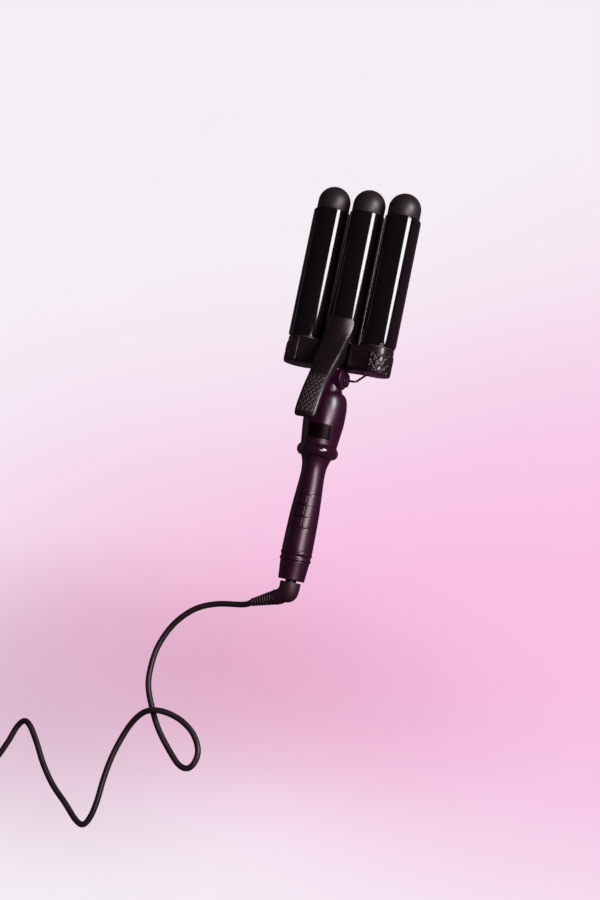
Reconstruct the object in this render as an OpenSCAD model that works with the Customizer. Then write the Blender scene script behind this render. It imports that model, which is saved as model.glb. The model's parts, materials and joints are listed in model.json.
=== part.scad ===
// Three-barrel hair waver with a clamping middle barrel, folding wire stand and swivel cord.
// The handle's axis runs along +Y, the barrels are at the +Y end and the thumb lever is on top.
// The waver lies put down: it rests on its opened wire stand and on the end cap's lower edge.

/* [Barrels] */
// Distance between the axes of neighbouring barrels
barrel_pitch = 35.5; // [35:0.1:38]
// Outer radius of the heated sleeve
sleeve_r = 16.4; // [15:0.1:16.9]
// Length of the heated sleeve
sleeve_len = 122.3; // [100:0.1:140]
// Wall of the heated sleeve
sleeve_wall = 2.1; // [1.5:0.1:3]
// Thickness of the wrapped plate on the two outer barrels
plate_t = 0.8; // [0.4:0.1:1]
// Radius of the rounded cool tip
dome_r = 15.2; // [13:0.1:16]
// Straight skirt of the cool tip
dome_skirt = 8.5; // [6:0.5:12]
// How far the barrel axes lie below the handle's axis
barrel_drop = 4; // [2:0.5:5]
// Height of the collar between crossbar and sleeve
collar_h = 1.4; // [1.2:0.1:6]
// Length of the ceramic heater
heater_len = 90; // [70:1:95]

/* [Crossbar] */
// Height of the crossbar along the handle
crossbar_h = 24; // [22:0.5:28]
// Outer radius of the quilted end cups
cup_r = 17.2; // [16.5:0.1:17.4]
// Wall of the quilted end cups
cup_wall = 1.35; // [1:0.05:1.6]
// Crossbar's upper face above the barrel plane
web_up = 10; // [9:0.5:10.5]
// Crossbar's lower face below the barrel plane
web_low = 11; // [10:0.5:12]

/* [Handle] */
// Length of the handle from the end cap's foot to the crossbar
handle_len = 198; // [196:0.5:200]
// Wall of the handle's shells
wall = 1.8; // [1.5:0.1:2]
// Radius of the end cap at its foot
cap_r = 12.1; // [11.5:0.1:13]
// Width of a button
button_w = 9; // [7:0.5:10]
// Length of a button
button_l = 9.4; // [8:0.2:9.6]
// Distance between button centres
button_pitch = 10.5; // [10.5:0.1:11.5]
// Travel of a button
button_travel = 0.6; // [0.4:0.1:0.8]

/* [Clamp] */
// Radius of the hinge pin
pin_r = 1.5; // [1.2:0.1:2]
// Wall of the thumb lever
lever_wall = 2.4; // [2:0.1:2.8]
// Thickness of the thumb pad
pad_t = 0.9; // [0.6:0.1:1.5]

/* [Stand] */
// Radius of the stand's wire
wire_r = 1; // [0.8:0.1:1.2]
// Length of the stand's legs
stand_leg = 46.07; // [42:0.01:48]
// Lean of the opened stand towards the barrels, in degrees
stand_lean = 26.84; // [20:0.02:30]
// Half the distance between the stand's legs
stand_half = 21.5; // [21:0.5:24]
// Radius of the stand's rubber foot
foot_r = 2.5; // [2:0.1:3]

/* [Cord] */
// Diameter of the supply cord
cord_d = 5.5; // [5:0.1:6.5]
// Radius of the swivel stem
stem_r = 5.1; // [4.5:0.1:5.5]
// Angle the cord outlet turns away from the handle's axis
outlet_turn = 68; // [60:1:75]
// Radius of the cord coil's centreline
coil_r = 32; // [30:1:34]
// Radius of the coil's bundle
bundle_r = 8.2; // [7.5:0.1:9]
// Radius of a plug pin
plug_pin_r = 2; // [2:0.1:2.4]
// Free length of a plug pin
plug_pin_len = 19; // [19:0.5:19.5]
// Distance between the plug pins
plug_pin_gap = 18.6; // [18:0.1:19.5]

/* [Fits] */
// Radial clearance of a shaft that turns in a bore
run_fit = 0.05; // [0.02:0.01:0.08]
// Gap between two pieces fixed to each other
seat = 0.1; // [0.05:0.01:0.15]
// Gap between two pieces that move past each other
air = 0.35; // [0.3:0.05:0.5]

/* [Hidden] */
$fn = 96;

black = [0.09, 0.085, 0.085];
gloss = [0.05, 0.05, 0.055];
plum = [0.16, 0.10, 0.13];
steel = [0.62, 0.62, 0.64];
brass = [0.75, 0.6, 0.3];
green = [0.1, 0.3, 0.18];
white = [0.85, 0.85, 0.83];

// stations along the handle's axis
bar_a = handle_len;
bar_top = bar_a + crossbar_h;
cover_t = 2;
sleeve_a = bar_top + collar_h + 2 * seat;
sleeve_end = sleeve_a + sleeve_len;
dome_a = sleeve_end + seat;
core_r = sleeve_r - sleeve_wall - seat;
core_wall = 2;
core_foot = bar_top - 10;
cup_in = cup_r - cup_wall;
body_r = cup_in - seat;
collar_r = sleeve_r - 0.8;
web_top = web_up - barrel_drop;
// the crossbar's front rises beside the hinge
brow_x = 14.2;
brow_top = web_top + 5;
web_bottom = -web_low - barrel_drop;

// outer profile of the end cap, the grip and the bulb: [radius, station]
cap_len = 17.6;
cap_pts = [[cap_r, 0], [cap_r + 0.25, 4], [cap_r + 0.6, 8], [cap_r + 1.15, 14],
  [cap_r + 1.5, cap_len]];
grip_a = 27.4;
// the grip and the bulb stretch with the handle's length
stretch = (handle_len - grip_a) / 170.6;
function along(p, a0) = [for (q = p) [q[0], a0 + q[1] * stretch]];
grip_end = grip_a + 87.4 * stretch;
grip_pts = along([[14.12, 0], [14.1, 2.6], [13.98, 10.6], [13.82, 20.6], [13.6, 29.6],
  [13.3, 36.6], [12.95, 42.6], [12.6, 48.1], [12.22, 53.6], [11.85, 58.6], [11.5, 63.6],
  [11.25, 68.1], [11.15, 71.6], [11.22, 74.6], [11.45, 77.6], [11.95, 80.6], [12.75, 83.6],
  [13.9, 86.6], [14.3, 87.4]], grip_a);
ring_len = 10.7;
bulb_a = grip_end + ring_len;
bulb_end = bulb_a + 50.5 * stretch;
neck_r = 10.8;
bulb_pts = along([[16.7, 0], [17.05, 3.5], [17.5, 7.5], [17.95, 11.5], [18.4, 15.5],
  [18.8, 19.5], [19, 23.5], [19.05, 27.5], [18.95, 31.5], [18.6, 35.5], [18, 39], [16.95, 43],
  [15.6, 46.1], [14.2, 48.4], [12.95, 49.8], [12, 50.5]], bulb_a);

// buttons on the grip, from the end cap upwards
button_a = 53;
button_flange = 1;
board_z = 4;
board_a = 41.5;
board_end = bulb_a + 24.5;

// hinge of the clamp, set by the lever cuff that hugs the middle barrel
cuff_top = sleeve_r + seat + lever_wall - barrel_drop;
hinge_a = bar_a + crossbar_h / 2;
hinge_z = cuff_top - 1.9;
ear_r = 4.3;
ear_in = 3.6;
ear_out = 7.5;
cheek_in = ear_out + air;
cheek_out = cheek_in + 2;
bush_wall = 1;

// thumb lever: [station from the hinge, back above the cuff, half width, crown, skirt's edge]
lever_form = [[-65.4, 29, 6.6, 0.8, 27.4], [-64.6, 30.8, 8.2, 1, 27.5], [-63, 31.7, 9.2, 1, 27.8],
  [-59, 31.6, 9.6, 1, 27.2], [-53, 30.5, 9.8, 1, 25.8], [-47, 29, 9.9, 1, 24],
  [-40, 26.9, 10.1, 1, 21.7], [-33, 24.3, 10.3, 1.1, 18.9], [-26, 21.2, 10.6, 1.2, 14.6], [-19, 18, 11, 1.3, 9.1],
  [-12, 14.5, 11.5, 1.4, 1.6], [-7, 11.9, 11.9, 1.5, -4.9], [-3, 9.9, 12.2, 1.5, -7.3],
  [2, 7.3, 12.4, 1.6, -7.4], [7, 5, 12.6, 2, -7.1], [11, 3.4, 12.8, 2.7, -5.9]];
cuff_form = [[3.2, 1.3, 13.3, 4.4], [8.2, 0.3, 13.8, 5.7], [14.2, 0, 14.2, 6.4],
  [18.2, 0, 13.9, 6.1], [19.8, -0.05, 13, 5.2], [20.4, -0.25, 11.6, 4]];
barrel_gap = seat + 0.08;
function barrel_back(x) = -barrel_drop + sqrt(pow(sleeve_r + barrel_gap, 2) - x * x);
lever_rows = concat(
  [for (r = lever_form) [r[0] + hinge_a, r[1] + cuff_top, r[2], r[3], r[4] + cuff_top]],
  [for (r = cuff_form) [r[0] + sleeve_a, r[1] + cuff_top, r[2], r[3],
    barrel_back(r[2] - lever_wall) + 0.03]]);

// stand
stand_a = bar_a - 8.5;
stand_z = -5;
boss_r = 6.6;
boss_x = 13;
hub_r = 9;
hub_a = bar_a - hub_r - 0.3;
hub_z = -2;
foot_a = stand_a + stand_leg * sin(stand_lean);
foot_z = stand_z - stand_leg * cos(stand_lean);

// pitch of the whole waver on the table, from the foot and the end cap's edge
foot_drop = -foot_z - cap_r;
foot_reach = norm([foot_a, foot_drop]);
pitch = atan2(foot_drop, foot_a) + asin(foot_r / foot_reach);
lift = cap_r * cos(pitch);

// swivel outlet
gap_a = 1.8;
outlet_a = -13.3;
relief_from = 12.6;
relief_len = 23.6;
relief_tip_r = 3.9;
relief_r = 6.8;
outlet = [-sin(outlet_turn), -cos(outlet_turn), 0];
tip = [0, outlet_a, 0] + (relief_from + relief_len) * outlet;

// the waver is centred along Y between its dome tips and the cord outlet
y_top = (dome_a + dome_skirt) * cos(pitch) + barrel_drop * sin(pitch) + dome_r;
y_low = tip[1] * cos(pitch) - relief_tip_r * sqrt(1 - pow(outlet[1] * cos(pitch), 2));
y_shift = -(y_top + y_low) / 2;

// plug and coil
coil_z = bundle_r + 0.95;
coil_c = [-300, -262];
strap_t = 0.7;
tie_fit = 0.2;
tie_len = 6;
plug_x = coil_c[0] - coil_r - 4;
plug_z = 7;
plug_foot = -238.2;
plug_body_a = -220;
pin_root = 0.5;
pin_seat = 9.9;
plug_body_len = 36;

// cord on the table, drawn by hand: [x, y, height of its centre]
cord_z = cord_d / 2 + 0.1;
tip_w = [tip[0], tip[1] * cos(pitch), tip[1] * sin(pitch) + lift];
dir_w = [outlet[0], outlet[1] * cos(pitch), outlet[1] * sin(pitch)];
cord_start = tip_w + 0.4 * dir_w;
cord_pts = [cord_start, cord_start + 9 * dir_w + [0, 0, -1], [-69, -34, 3.6], [-90, -43, cord_z],
  [-106, -60, cord_z], [-115, -81, cord_z], [-117, -101, cord_z], [-114, -121, cord_z],
  [-104, -140, cord_z], [-92, -157, cord_z], [-77, -172, cord_z], [-62, -184, cord_z],
  [-52, -185, cord_z], [-47, -177, cord_z], [-48, -166, cord_z], [-57, -154, cord_z],
  [-71, -145.5, 3.8], [-85, -142, 7], [-98, -142.5, 8.8], [-110, -147.5, 6.6],
  [-120, -160, 3.6], [-126, -177, cord_z], [-129.5, -194, cord_z], [-131, -213, cord_z],
  [-131, -234, cord_z], [-133, -249, cord_z], [-138, -257, cord_z], [-147, -254.5, cord_z],
  [-162, -243, cord_z], [-180, -230, cord_z], [-196, -214, cord_z], [-210, -196, cord_z],
  [-222, -183, cord_z], [-229.5, -180.5, cord_z], [-235, -188, cord_z],
  [-239, -202, cord_z], [-246, -220, cord_z], [-257, -237, 3.6], [-266.5, -253.5, 6.4]];

function rev(p) = [for (i = [len(p) - 1:-1:0]) p[i]];
function inset(p, w) = [for (q = p) [q[0] - w, q[1]]];
function grow(p, w) = [for (q = p) [q[0] + w, q[1]]];
function radius_at(p, a) = lookup(a, [for (q = p) [q[1], q[0]]]);
function unit(v) = v / norm(v);
function row(k) = [for (r = lever_rows) [r[0], r[k]]];
function dome_arc(r, a) = [for (t = [0:6:90]) [r * cos(t), a + r * sin(t)]];
function midpoint(p, i) = (i == 0 || i == len(p) - 2) ? (p[i] + p[i + 1]) / 2
  : (9 * (p[i] + p[i + 1]) - p[i - 1] - p[i + 2]) / 16;
function smooth(p) = concat([for (i = [0:len(p) - 2]) for (k = [0, 1])
  k == 0 ? p[i] : midpoint(p, i)], [p[len(p) - 1]]);

// moves a piece from the handle's own frame to its place on the table
module placed() {
  translate([0, y_shift, lift]) rotate([pitch, 0, 0]) children();
}
// moves a piece of the cord that lies on the table
module on_table() {
  translate([0, y_shift, 0]) children();
}
// revolves [radius, station] points about the handle's axis, or about a barrel's
module turned(pts, x = 0, z = 0) {
  translate([x, 0, z]) rotate([-90, 0, 0]) rotate_extrude() polygon(pts);
}
module half_turned(pts, top) {
  rotate([-90, 0, 0]) rotate([0, 0, top ? 180 : 0]) rotate_extrude(angle = 180) polygon(pts);
}
module rod_y(r, a0, a1, x = 0, z = 0) {
  translate([x, a0, z]) rotate([-90, 0, 0]) cylinder(r = r, h = a1 - a0);
}
module tube_y(ro, ri, a0, a1, x = 0, z = 0) {
  difference() {
    rod_y(ro, a0, a1, x, z);
    rod_y(ri, a0 - 1, a1 + 1, x, z);
  }
}
module rod_x(r, x0, x1, a, z) {
  translate([x0, a, z]) rotate([0, 90, 0]) cylinder(r = r, h = x1 - x0);
}
module rod_z(r, z0, z1, x, a) {
  translate([x, a, z0]) cylinder(r = r, h = z1 - z0);
}
module box(x0, x1, a0, a1, z0, z1) {
  translate([x0, a0, z0]) cube([x1 - x0, a1 - a0, z1 - z0]);
}
module round_box(x, a, w, l, r, z0, z1) {
  translate([x, a, z0]) linear_extrude(z1 - z0) union() {
    square([w - 2 * r, l], center = true);
    square([w, l - 2 * r], center = true);
    for (i = [-1, 1]) for (j = [-1, 1])
      translate([i * (w / 2 - r), j * (l / 2 - r)]) circle(r = r, $fn = 40);
  }
}
// outline across the handle, extruded along it
module across(a0, a1) {
  translate([0, a1, 0]) rotate([90, 0, 0]) linear_extrude(a1 - a0) children();
}
// outline in the side view, [station, height], extruded across the handle
module side_cut(x0, x1, pts) {
  translate([x0, 0, 0]) rotate([90, 0, 90]) linear_extrude(x1 - x0) polygon(pts);
}

// round wire or cord along a list of points
module swept(p, r, sides, up) {
  n = len(p);
  ring = [for (i = [0:n - 1])
    let (t = unit(p[min(i + 1, n - 1)] - p[max(i - 1, 0)]), h = unit(cross(up, t)),
      v = cross(t, h))
    [for (k = [0:sides - 1]) p[i] + r * (cos(k * 360 / sides) * h + sin(k * 360 / sides) * v)]];
  faces = concat([[for (k = [0:sides - 1]) k]],
    [for (i = [0:n - 2]) for (k = [0:sides - 1]) each
      [[i * sides + k, (i + 1) * sides + k, i * sides + (k + 1) % sides],
      [i * sides + (k + 1) % sides, (i + 1) * sides + k, (i + 1) * sides + (k + 1) % sides]]],
    [[for (k = [sides - 1:-1:0]) (n - 1) * sides + k]]);
  polyhedron(points = [for (s = ring) for (q = s) q], faces = faces, convexity = 8);
}

// handle shells
// screws from the back: [x, station, height of the boss they bite into]
case_screws_xy = [[0, grip_a + 9.6, 13.4], [-12, bulb_a + 13.5, 8.2],
  [12, bulb_a + 13.5, 8.2], [-9, bulb_a + 34.5, 16], [9, bulb_a + 34.5, 16]];
screw_r = 1.3;
head_r = 2.4;
head_z = -8;
screw_top = 6;
module boss_low(p) {
  rod_z(3.3, -20, -seat, p[0], p[1]);
}
module boss_high(p) {
  rod_z(3, 0, p[2], p[0], p[1]);
}
module screw_hole_low(p) {
  rod_z(screw_r + 0.2, -20, 0, p[0], p[1]);
  rod_z(head_r + 0.2, -20, head_z, p[0], p[1]);
}
module screw_hole_high(p) {
  rod_z(screw_r + 0.02, -1, screw_top + 0.6, p[0], p[1]);
}
grip_shell = concat(grip_pts, rev(inset(grip_pts, wall)));
inner_bulb = [for (q = bulb_pts) if (q[1] < bulb_end - 3.4) [q[0] - wall, q[1]]];
bulb_shell = concat(bulb_pts, [[neck_r + seat, bulb_end], [neck_r + seat, bulb_end - 2.2]],
  rev(inner_bulb));
grip_core = concat(inset(grip_pts, 0.5), [[0, grip_end], [0, grip_a]]);
bulb_core = concat(inset(bulb_pts, 0.5), [[0, bulb_end], [0, bulb_a]]);

module button_hole(i, grown) {
  round_box(0, button_a + i * button_pitch, button_w + 2 * grown, button_l + 2 * grown,
    2 + grown, 5, 20);
}
module grip_front() {
  color(plum) placed() difference() {
    union() {
      half_turned(grip_shell, true);
      intersection() {
        boss_high(case_screws_xy[0]);
        half_turned(grip_core, true);
      }
    }
    screw_hole_high(case_screws_xy[0]);
    for (i = [0:2]) button_hole(i, air);
  }
}
module grip_back() {
  color(plum) placed() difference() {
    union() {
      half_turned(grip_shell, false);
      intersection() {
        boss_low(case_screws_xy[0]);
        half_turned(grip_core, false);
      }
    }
    screw_hole_low(case_screws_xy[0]);
  }
}
// display window in the bulb, set towards the holder's thumb
window_x = 4.1;
window_a = bulb_a + 12;
window_w = 19;
window_l = 13.6;
module window_hole(grown, r) {
  round_box(window_x, window_a, window_w + 2 * grown, window_l + 2 * grown, r + grown, 8.4, 24);
}
module bulb_front() {
  color(plum) placed() difference() {
    union() {
      half_turned(bulb_shell, true);
      intersection() {
        for (i = [1:4]) boss_high(case_screws_xy[i]);
        half_turned(bulb_core, true);
      }
    }
    for (i = [1:4]) screw_hole_high(case_screws_xy[i]);
    window_hole(seat, 1.6);
  }
}
module bulb_back() {
  color(plum) placed() difference() {
    union() {
      half_turned(bulb_shell, false);
      intersection() {
        for (i = [1:4]) boss_low(case_screws_xy[i]);
        half_turned(bulb_core, false);
      }
    }
    for (i = [1:4]) screw_hole_low(case_screws_xy[i]);
  }
}
module waist_ring() {
  color(gloss) placed() turned([[12.8, grip_end + seat], [14.7, grip_end + seat],
    [16.6, grip_end + 0.7], [18.1, grip_end + 2], [18.95, grip_end + 3.8],
    [19.2, grip_end + 5.4], [18.95, grip_end + 7], [18.1, grip_end + 8.7],
    [17.1, grip_end + 9.9], [16.5, bulb_a - seat], [bulb_pts[0][0] - wall - seat, bulb_a - seat],
    [bulb_pts[0][0] - wall - seat, bulb_a + 3], [13.9, bulb_a + 3], [13.9, bulb_a - 2],
    [12.8, bulb_a - 3]]);
}
module groove_ring() {
  color(gloss) placed() {
    turned([[10.3, cap_len - 4], [11.2, cap_len - 4], [11.2, cap_len + seat],
      [13.75, cap_len + seat], [14.3, cap_len + 0.6], [14.45, cap_len + 1.4],
      [14.3, cap_len + 2.2], [13.85, cap_len + 3], [13.75, cap_len + 4],
      [13.8, cap_len + 5], [14.3, cap_len + 6], [14.55, cap_len + 6.9],
      [14.4, cap_len + 7.8], [13.95, cap_len + 8.5], [13.95, grip_a - seat],
      [11.8, grip_a - seat], [11.8, grip_a + 1.5], [10.9, grip_a + 1.5]]);
  }
}
module end_cap() {
  color(plum) placed() turned(concat(cap_pts, rev([for (q = cap_pts) if (q[1] > 3)
    [q[0] - wall, q[1]]]), [[cap_r + 0.15 - wall, 2.2], [stem_r + run_fit, 2.2],
    [stem_r + run_fit, 0]]));
}
module display_window() {
  color(gloss) placed() intersection() {
    half_turned(concat(inset(bulb_pts, 0.15), rev(inset(bulb_pts, 0.95))), true);
    window_hole(0, 1.6);
  }
}
module lcd_panel() {
  color(gloss) placed() intersection() {
    half_turned(concat(inset(bulb_pts, 1.05), rev(inset(bulb_pts, 1.75))), true);
    window_hole(-1.6, 2.2);
  }
}
module button(i) {
  a = button_a + i * button_pitch;
  r_in = radius_at(grip_pts, a + button_pitch / 2) - wall;
  w = button_w + 2;
  z = sqrt(r_in * r_in - w * w / 4) - air;
  intersection() {
    half_turned(concat(grow(grip_pts, 0.3), [[0, grip_end], [0, grip_a]]), true);
    round_box(0, a, button_w, button_l, 2, z - button_flange / 2, 20);
  }
  round_box(0, a, w, button_pitch - 0.5, 1, z - button_flange, z);
}
function button_under(i) = sqrt(pow(radius_at(grip_pts, button_a + (i + 0.5) * button_pitch)
  - wall, 2) - pow(button_w / 2 + 1, 2)) - air - button_flange;
module button_power() {
  color(gloss) placed() button(2);
}
module button_up() {
  color(gloss) placed() button(1);
}
module button_down() {
  color(gloss) placed() button(0);
}
module control_board() {
  color(green) placed() difference() {
    box(-8, 8, board_a, board_end, board_z - 1.6, board_z);
    for (a = [board_a + 4.5, board_end - 44, board_end - 4]) for (x = [-6, 6]) rod_z(1, 0, 8, x, a);
  }
}
module tact_switches() {
  color(steel) placed() for (i = [0:2]) {
    a = button_a + i * button_pitch;
    t = button_under(i) - button_travel - 0.3;
    box(-3, 3, a - 3, a + 3, board_z + 0.02, t - 0.7);
    rod_z(1.6, t - 1, t, 0, a);
  }
}
module board_parts() {
  color(black) placed() {
    chip_a = button_a + 31;
    box(-4.5, 4.5, chip_a, chip_a + 9, board_z + 0.02, board_z + 1.6);
    for (k = [0:4]) for (x = [-5.4, 4.6]) box(x, x + 0.8, chip_a + 0.6 + k * 1.8,
      chip_a + 1.4 + k * 1.8, board_z + 0.02, board_z + 0.5);
    box(-6, 6, board_end - 40, board_end - 32, board_z + 0.02, board_z + 4.5);
    for (k = [0:3]) rod_z(1.4, board_z + 0.02, board_z + 5, -5 + k * 3.3, board_end - 26);
  }
}
module power_board() {
  color(green) placed() {
    box(-7, 7, board_a, board_a + 46.5, -5.6, -4);
    rod_y(2.7, board_a + 4.5, board_a + 20.5, -3.2, -1.3);
    box(1.2, 6.4, board_a + 6.5, board_a + 20.5, -4.2, 1.2);
    box(-6, 6, board_a + 24.5, board_a + 36.5, -4.2, 1.6);
    rod_y(1.4, board_a + 38.5, board_a + 45, 0, -2.7);
  }
}
module wire_loom() {
  color(black) placed() {
    box(-4, 4, board_end + seat, board_end + 4, -3, 5);
    rod_y(3, board_end + 3, bar_a + 8, 0, 0);
    rod_x(2.2, -26, 26, bar_a + 8, -barrel_drop);
  }
}
module case_screws() {
  color(steel) placed() for (p = case_screws_xy) difference() {
    union() {
      rod_z(screw_r, head_z - 1, screw_top, p[0], p[1]);
      rod_z(head_r, head_z - 1.8, head_z - 0.02, p[0], p[1]);
    }
    box(p[0] - 1.5, p[0] + 1.5, p[1] - 0.3, p[1] + 0.3, head_z - 2, head_z - 1);
    box(p[0] - 0.3, p[0] + 0.3, p[1] - 1.5, p[1] + 1.5, head_z - 2, head_z - 1);
  }
}

// neck and crossbar
loom_r = 3.6;
spigot_r = 7;
module neck_stem() {
  color(plum) placed() difference() {
    union() {
      rod_y(12.2, bulb_end - 6.4, bulb_end - 3.8);
      rod_y(neck_r, bulb_end - 4.4, bar_a - seat);
      rod_y(neck_r + 0.7, bulb_end + 0.6, bulb_end + 2.6);
      rod_y(spigot_r, bar_a - 1, bar_a + 5.8);
      rod_x(boss_r, -boss_x, boss_x, stand_a, stand_z);
      rod_x(hub_r, 0.4 - boss_x, boss_x - 0.4, hub_a, hub_z);
    }
    rod_y(loom_r, bulb_end - 7.4, bar_a + 7);
    for (s = [0, 1]) mirror([s, 0, 0])
      rod_x(wire_r + run_fit, 9.4, boss_x + 1, stand_a, stand_z);
  }
}
module stand_washers() {
  color(steel) placed() for (s = [0, 1]) mirror([s, 0, 0]) difference() {
    rod_x(2.7, boss_x + 0.02, boss_x + 0.8, stand_a, stand_z);
    rod_x(wire_r + run_fit, boss_x - 1, boss_x + 2, stand_a, stand_z);
  }
}
module bar_outline(r) {
  for (s = [-1, 1]) translate([s * barrel_pitch, -barrel_drop]) circle(r = r);
  translate([-barrel_pitch, web_bottom]) square([2 * barrel_pitch, web_top - web_bottom]);
  for (s = [0, 1]) mirror([s, 0]) polygon([[brow_x, 0], [brow_x, web_top - 0.1],
    [brow_x + 1.4, brow_top], [barrel_pitch, brow_top], [barrel_pitch, 0]]);
}
cover_screws = [[-24, -11], [24, -11], [-41, -4], [41, -4]];
module crossbar_body() {
  color(black) placed() difference() {
    union() {
      across(bar_a + cover_t, bar_top) bar_outline(body_r);
      for (x = [-ear_out, ear_in]) {
        box(x, x + ear_out - ear_in, hinge_a - ear_r + 0.4, hinge_a + ear_r - 0.4,
          web_top - 1, hinge_z);
        rod_x(ear_r, x, x + ear_out - ear_in, hinge_a, hinge_z);
      }
    }
    for (s = [-1, 1])
      rod_y(core_r + run_fit, core_foot - seat, bar_top + 1, s * barrel_pitch, -barrel_drop);
    rod_y(spigot_r + seat, bar_a, bar_a + 6);
    box(-28, 28, bar_a + 5, bar_a + 11, -barrel_drop - 2.8, 3.2);
    for (s = [-1, 1])
      rod_y(4, bar_a + 8, core_foot + 1, s * 27, -barrel_drop);
    box(-ear_in, ear_in, hinge_a - 6, hinge_a + 4, web_top - 2.4, web_top + 1);
    rod_x(pin_r + run_fit + bush_wall + 0.02, -10, 10, hinge_a, hinge_z);
    for (p = cover_screws) rod_y(1.22, bar_a, bar_a + 10, p[0], p[1]);
  }
}
module crossbar_cover() {
  color(black) placed() difference() {
    across(bar_a, bar_a + cover_t - 0.02) bar_outline(body_r);
    rod_y(spigot_r + seat, bar_a - 1, bar_a + 6);
    for (p = cover_screws) {
      rod_y(1.4, bar_a - 1, bar_a + 5, p[0], p[1]);
      rod_y(2.4, bar_a - 1, bar_a + 1.1, p[0], p[1]);
    }
  }
}
module cover_screws_set() {
  color(steel) placed() for (p = cover_screws) difference() {
    union() {
      rod_y(1.2, bar_a + 0.5, bar_a + 9.4, p[0], p[1]);
      rod_y(2.2, bar_a + 0.1, bar_a + 1.06, p[0], p[1]);
    }
    box(p[0] - 1.4, p[0] + 1.4, bar_a - 1, bar_a + 0.6, p[1] - 0.3, p[1] + 0.3);
  }
}
module cup(s) {
  translate([s * barrel_pitch, bar_a, -barrel_drop]) rotate([-90, 0, 0])
    rotate([0, 0, s > 0 ? -90 : 90]) rotate_extrude(angle = 180)
      polygon([[cup_in, 0], [cup_r - 0.5, 0], [cup_r, 0.5], [cup_r, crossbar_h - 6.2],
        [cup_r - 0.6, crossbar_h - 5.5], [cup_r - 0.8, crossbar_h - 0.4],
        [cup_r - 1, crossbar_h], [cup_in, crossbar_h]]);
}
module cup_left() {
  color(plum) placed() cup(-1);
}
module cup_right() {
  color(plum) placed() cup(1);
}
module hinge_bushes() {
  color(brass) placed() for (x = [-ear_out, ear_in]) difference() {
    rod_x(pin_r + run_fit + bush_wall, x, x + ear_out - ear_in, hinge_a, hinge_z);
    rod_x(pin_r + run_fit, -10, 10, hinge_a, hinge_z);
  }
}

// barrels
module collar(x) {
  tube_y(collar_r, core_r + seat, bar_top + seat, sleeve_a - seat, x, -barrel_drop);
}
module side_collars() {
  color(black) placed() for (s = [-1, 1]) collar(s * barrel_pitch);
}
module core(x, a0) {
  tube_y(core_r, core_r - core_wall, a0, sleeve_end, x, -barrel_drop);
}
module core_left() {
  color(steel) placed() core(-barrel_pitch, core_foot);
}
module core_right() {
  color(steel) placed() core(barrel_pitch, core_foot);
}
module core_middle() {
  color(steel) placed() core(0, sleeve_a);
}
module sleeve(x) {
  turned([[sleeve_r - sleeve_wall, sleeve_a], [sleeve_r - 0.3, sleeve_a], [sleeve_r, sleeve_a + 0.3],
    [sleeve_r, sleeve_end - 0.3], [sleeve_r - 0.3, sleeve_end],
    [sleeve_r - sleeve_wall, sleeve_end]], x, -barrel_drop);
}
// wrapped plate over the outer side of a side barrel, with rounded free corners
module plate(s) {
  l = sleeve_len - 1.2;
  z0 = -barrel_drop - (sleeve_r + plate_t) * sin(27);
  intersection() {
    translate([s * barrel_pitch, sleeve_a + 0.6, -barrel_drop]) rotate([-90, 0, 0])
      rotate([0, 0, s > 0 ? -30 : 153]) rotate_extrude(angle = 57)
        polygon([[sleeve_r - 0.5, 0], [sleeve_r + plate_t, 0],
          [sleeve_r + plate_t, sleeve_len - 1.2], [sleeve_r - 0.5, sleeve_len - 1.2]]);
    side_cut(s * (barrel_pitch + 10) - 10, s * (barrel_pitch + 10) + 10,
      [each [for (c = [[0, 6, 180], [l - 12, 6, 270]]) for (t = [0:15:90])
        [sleeve_a + 6.6 + c[0] + 6 * cos(c[2] + t), z0 + c[1] + 6 * sin(c[2] + t)]],
        [sleeve_a + 0.6 + l, z0 + 40], [sleeve_a + 0.6, z0 + 40]]);
  }
}
module sleeve_left() {
  color(gloss) placed() {
    sleeve(-barrel_pitch);
    plate(-1);
  }
}
module sleeve_right() {
  color(gloss) placed() {
    sleeve(barrel_pitch);
    plate(1);
  }
}
module sleeve_middle() {
  color(gloss) placed() sleeve(0);
}
module dome(x) {
  c = core_r - core_wall - seat;
  turned(concat([[dome_r, dome_a]], [for (t = [0:6:90])
    [dome_r * cos(t), dome_a + dome_skirt + dome_r * sin(t)]],
    [[0, dome_a + dome_skirt + dome_r - 2]], [for (t = [84:-12:0])
    [(dome_r - 4) * cos(t), dome_a + dome_skirt + (dome_r - 4) * sin(t)]],
    [[dome_r - 4, dome_a - 7], [c, dome_a - 7], [c, dome_a]]), x, -barrel_drop);
}
module dome_left() {
  color(black) placed() dome(-barrel_pitch);
}
module dome_right() {
  color(black) placed() dome(barrel_pitch);
}
module dome_middle() {
  color(black) placed() dome(0);
}
heater_half = sqrt(pow(core_r - core_wall, 2) - 2.56) - seat;
module heater(x) {
  a0 = sleeve_a + (sleeve_len - heater_len) / 2;
  box(x - heater_half, x + heater_half, a0, a0 + heater_len,
    -barrel_drop - 1.6, -barrel_drop + 1.6);
  for (s = [-5, 5]) box(x + s - 1.5, x + s + 1.5, a0 - 7, a0 + 1,
    -barrel_drop - 0.4, -barrel_drop + 0.4);
}
module heater_left() {
  color(white) placed() heater(-barrel_pitch);
}
module heater_right() {
  color(white) placed() heater(barrel_pitch);
}
module heater_middle() {
  color(white) placed() heater(0);
}
module thermal_fuses() {
  color(steel) placed() for (s = [-1, 1])
    box(s * barrel_pitch - 4, s * barrel_pitch + 4, sleeve_a + 30, sleeve_a + 42,
      -barrel_drop + 1.62, -barrel_drop + 4.6);
}
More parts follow.
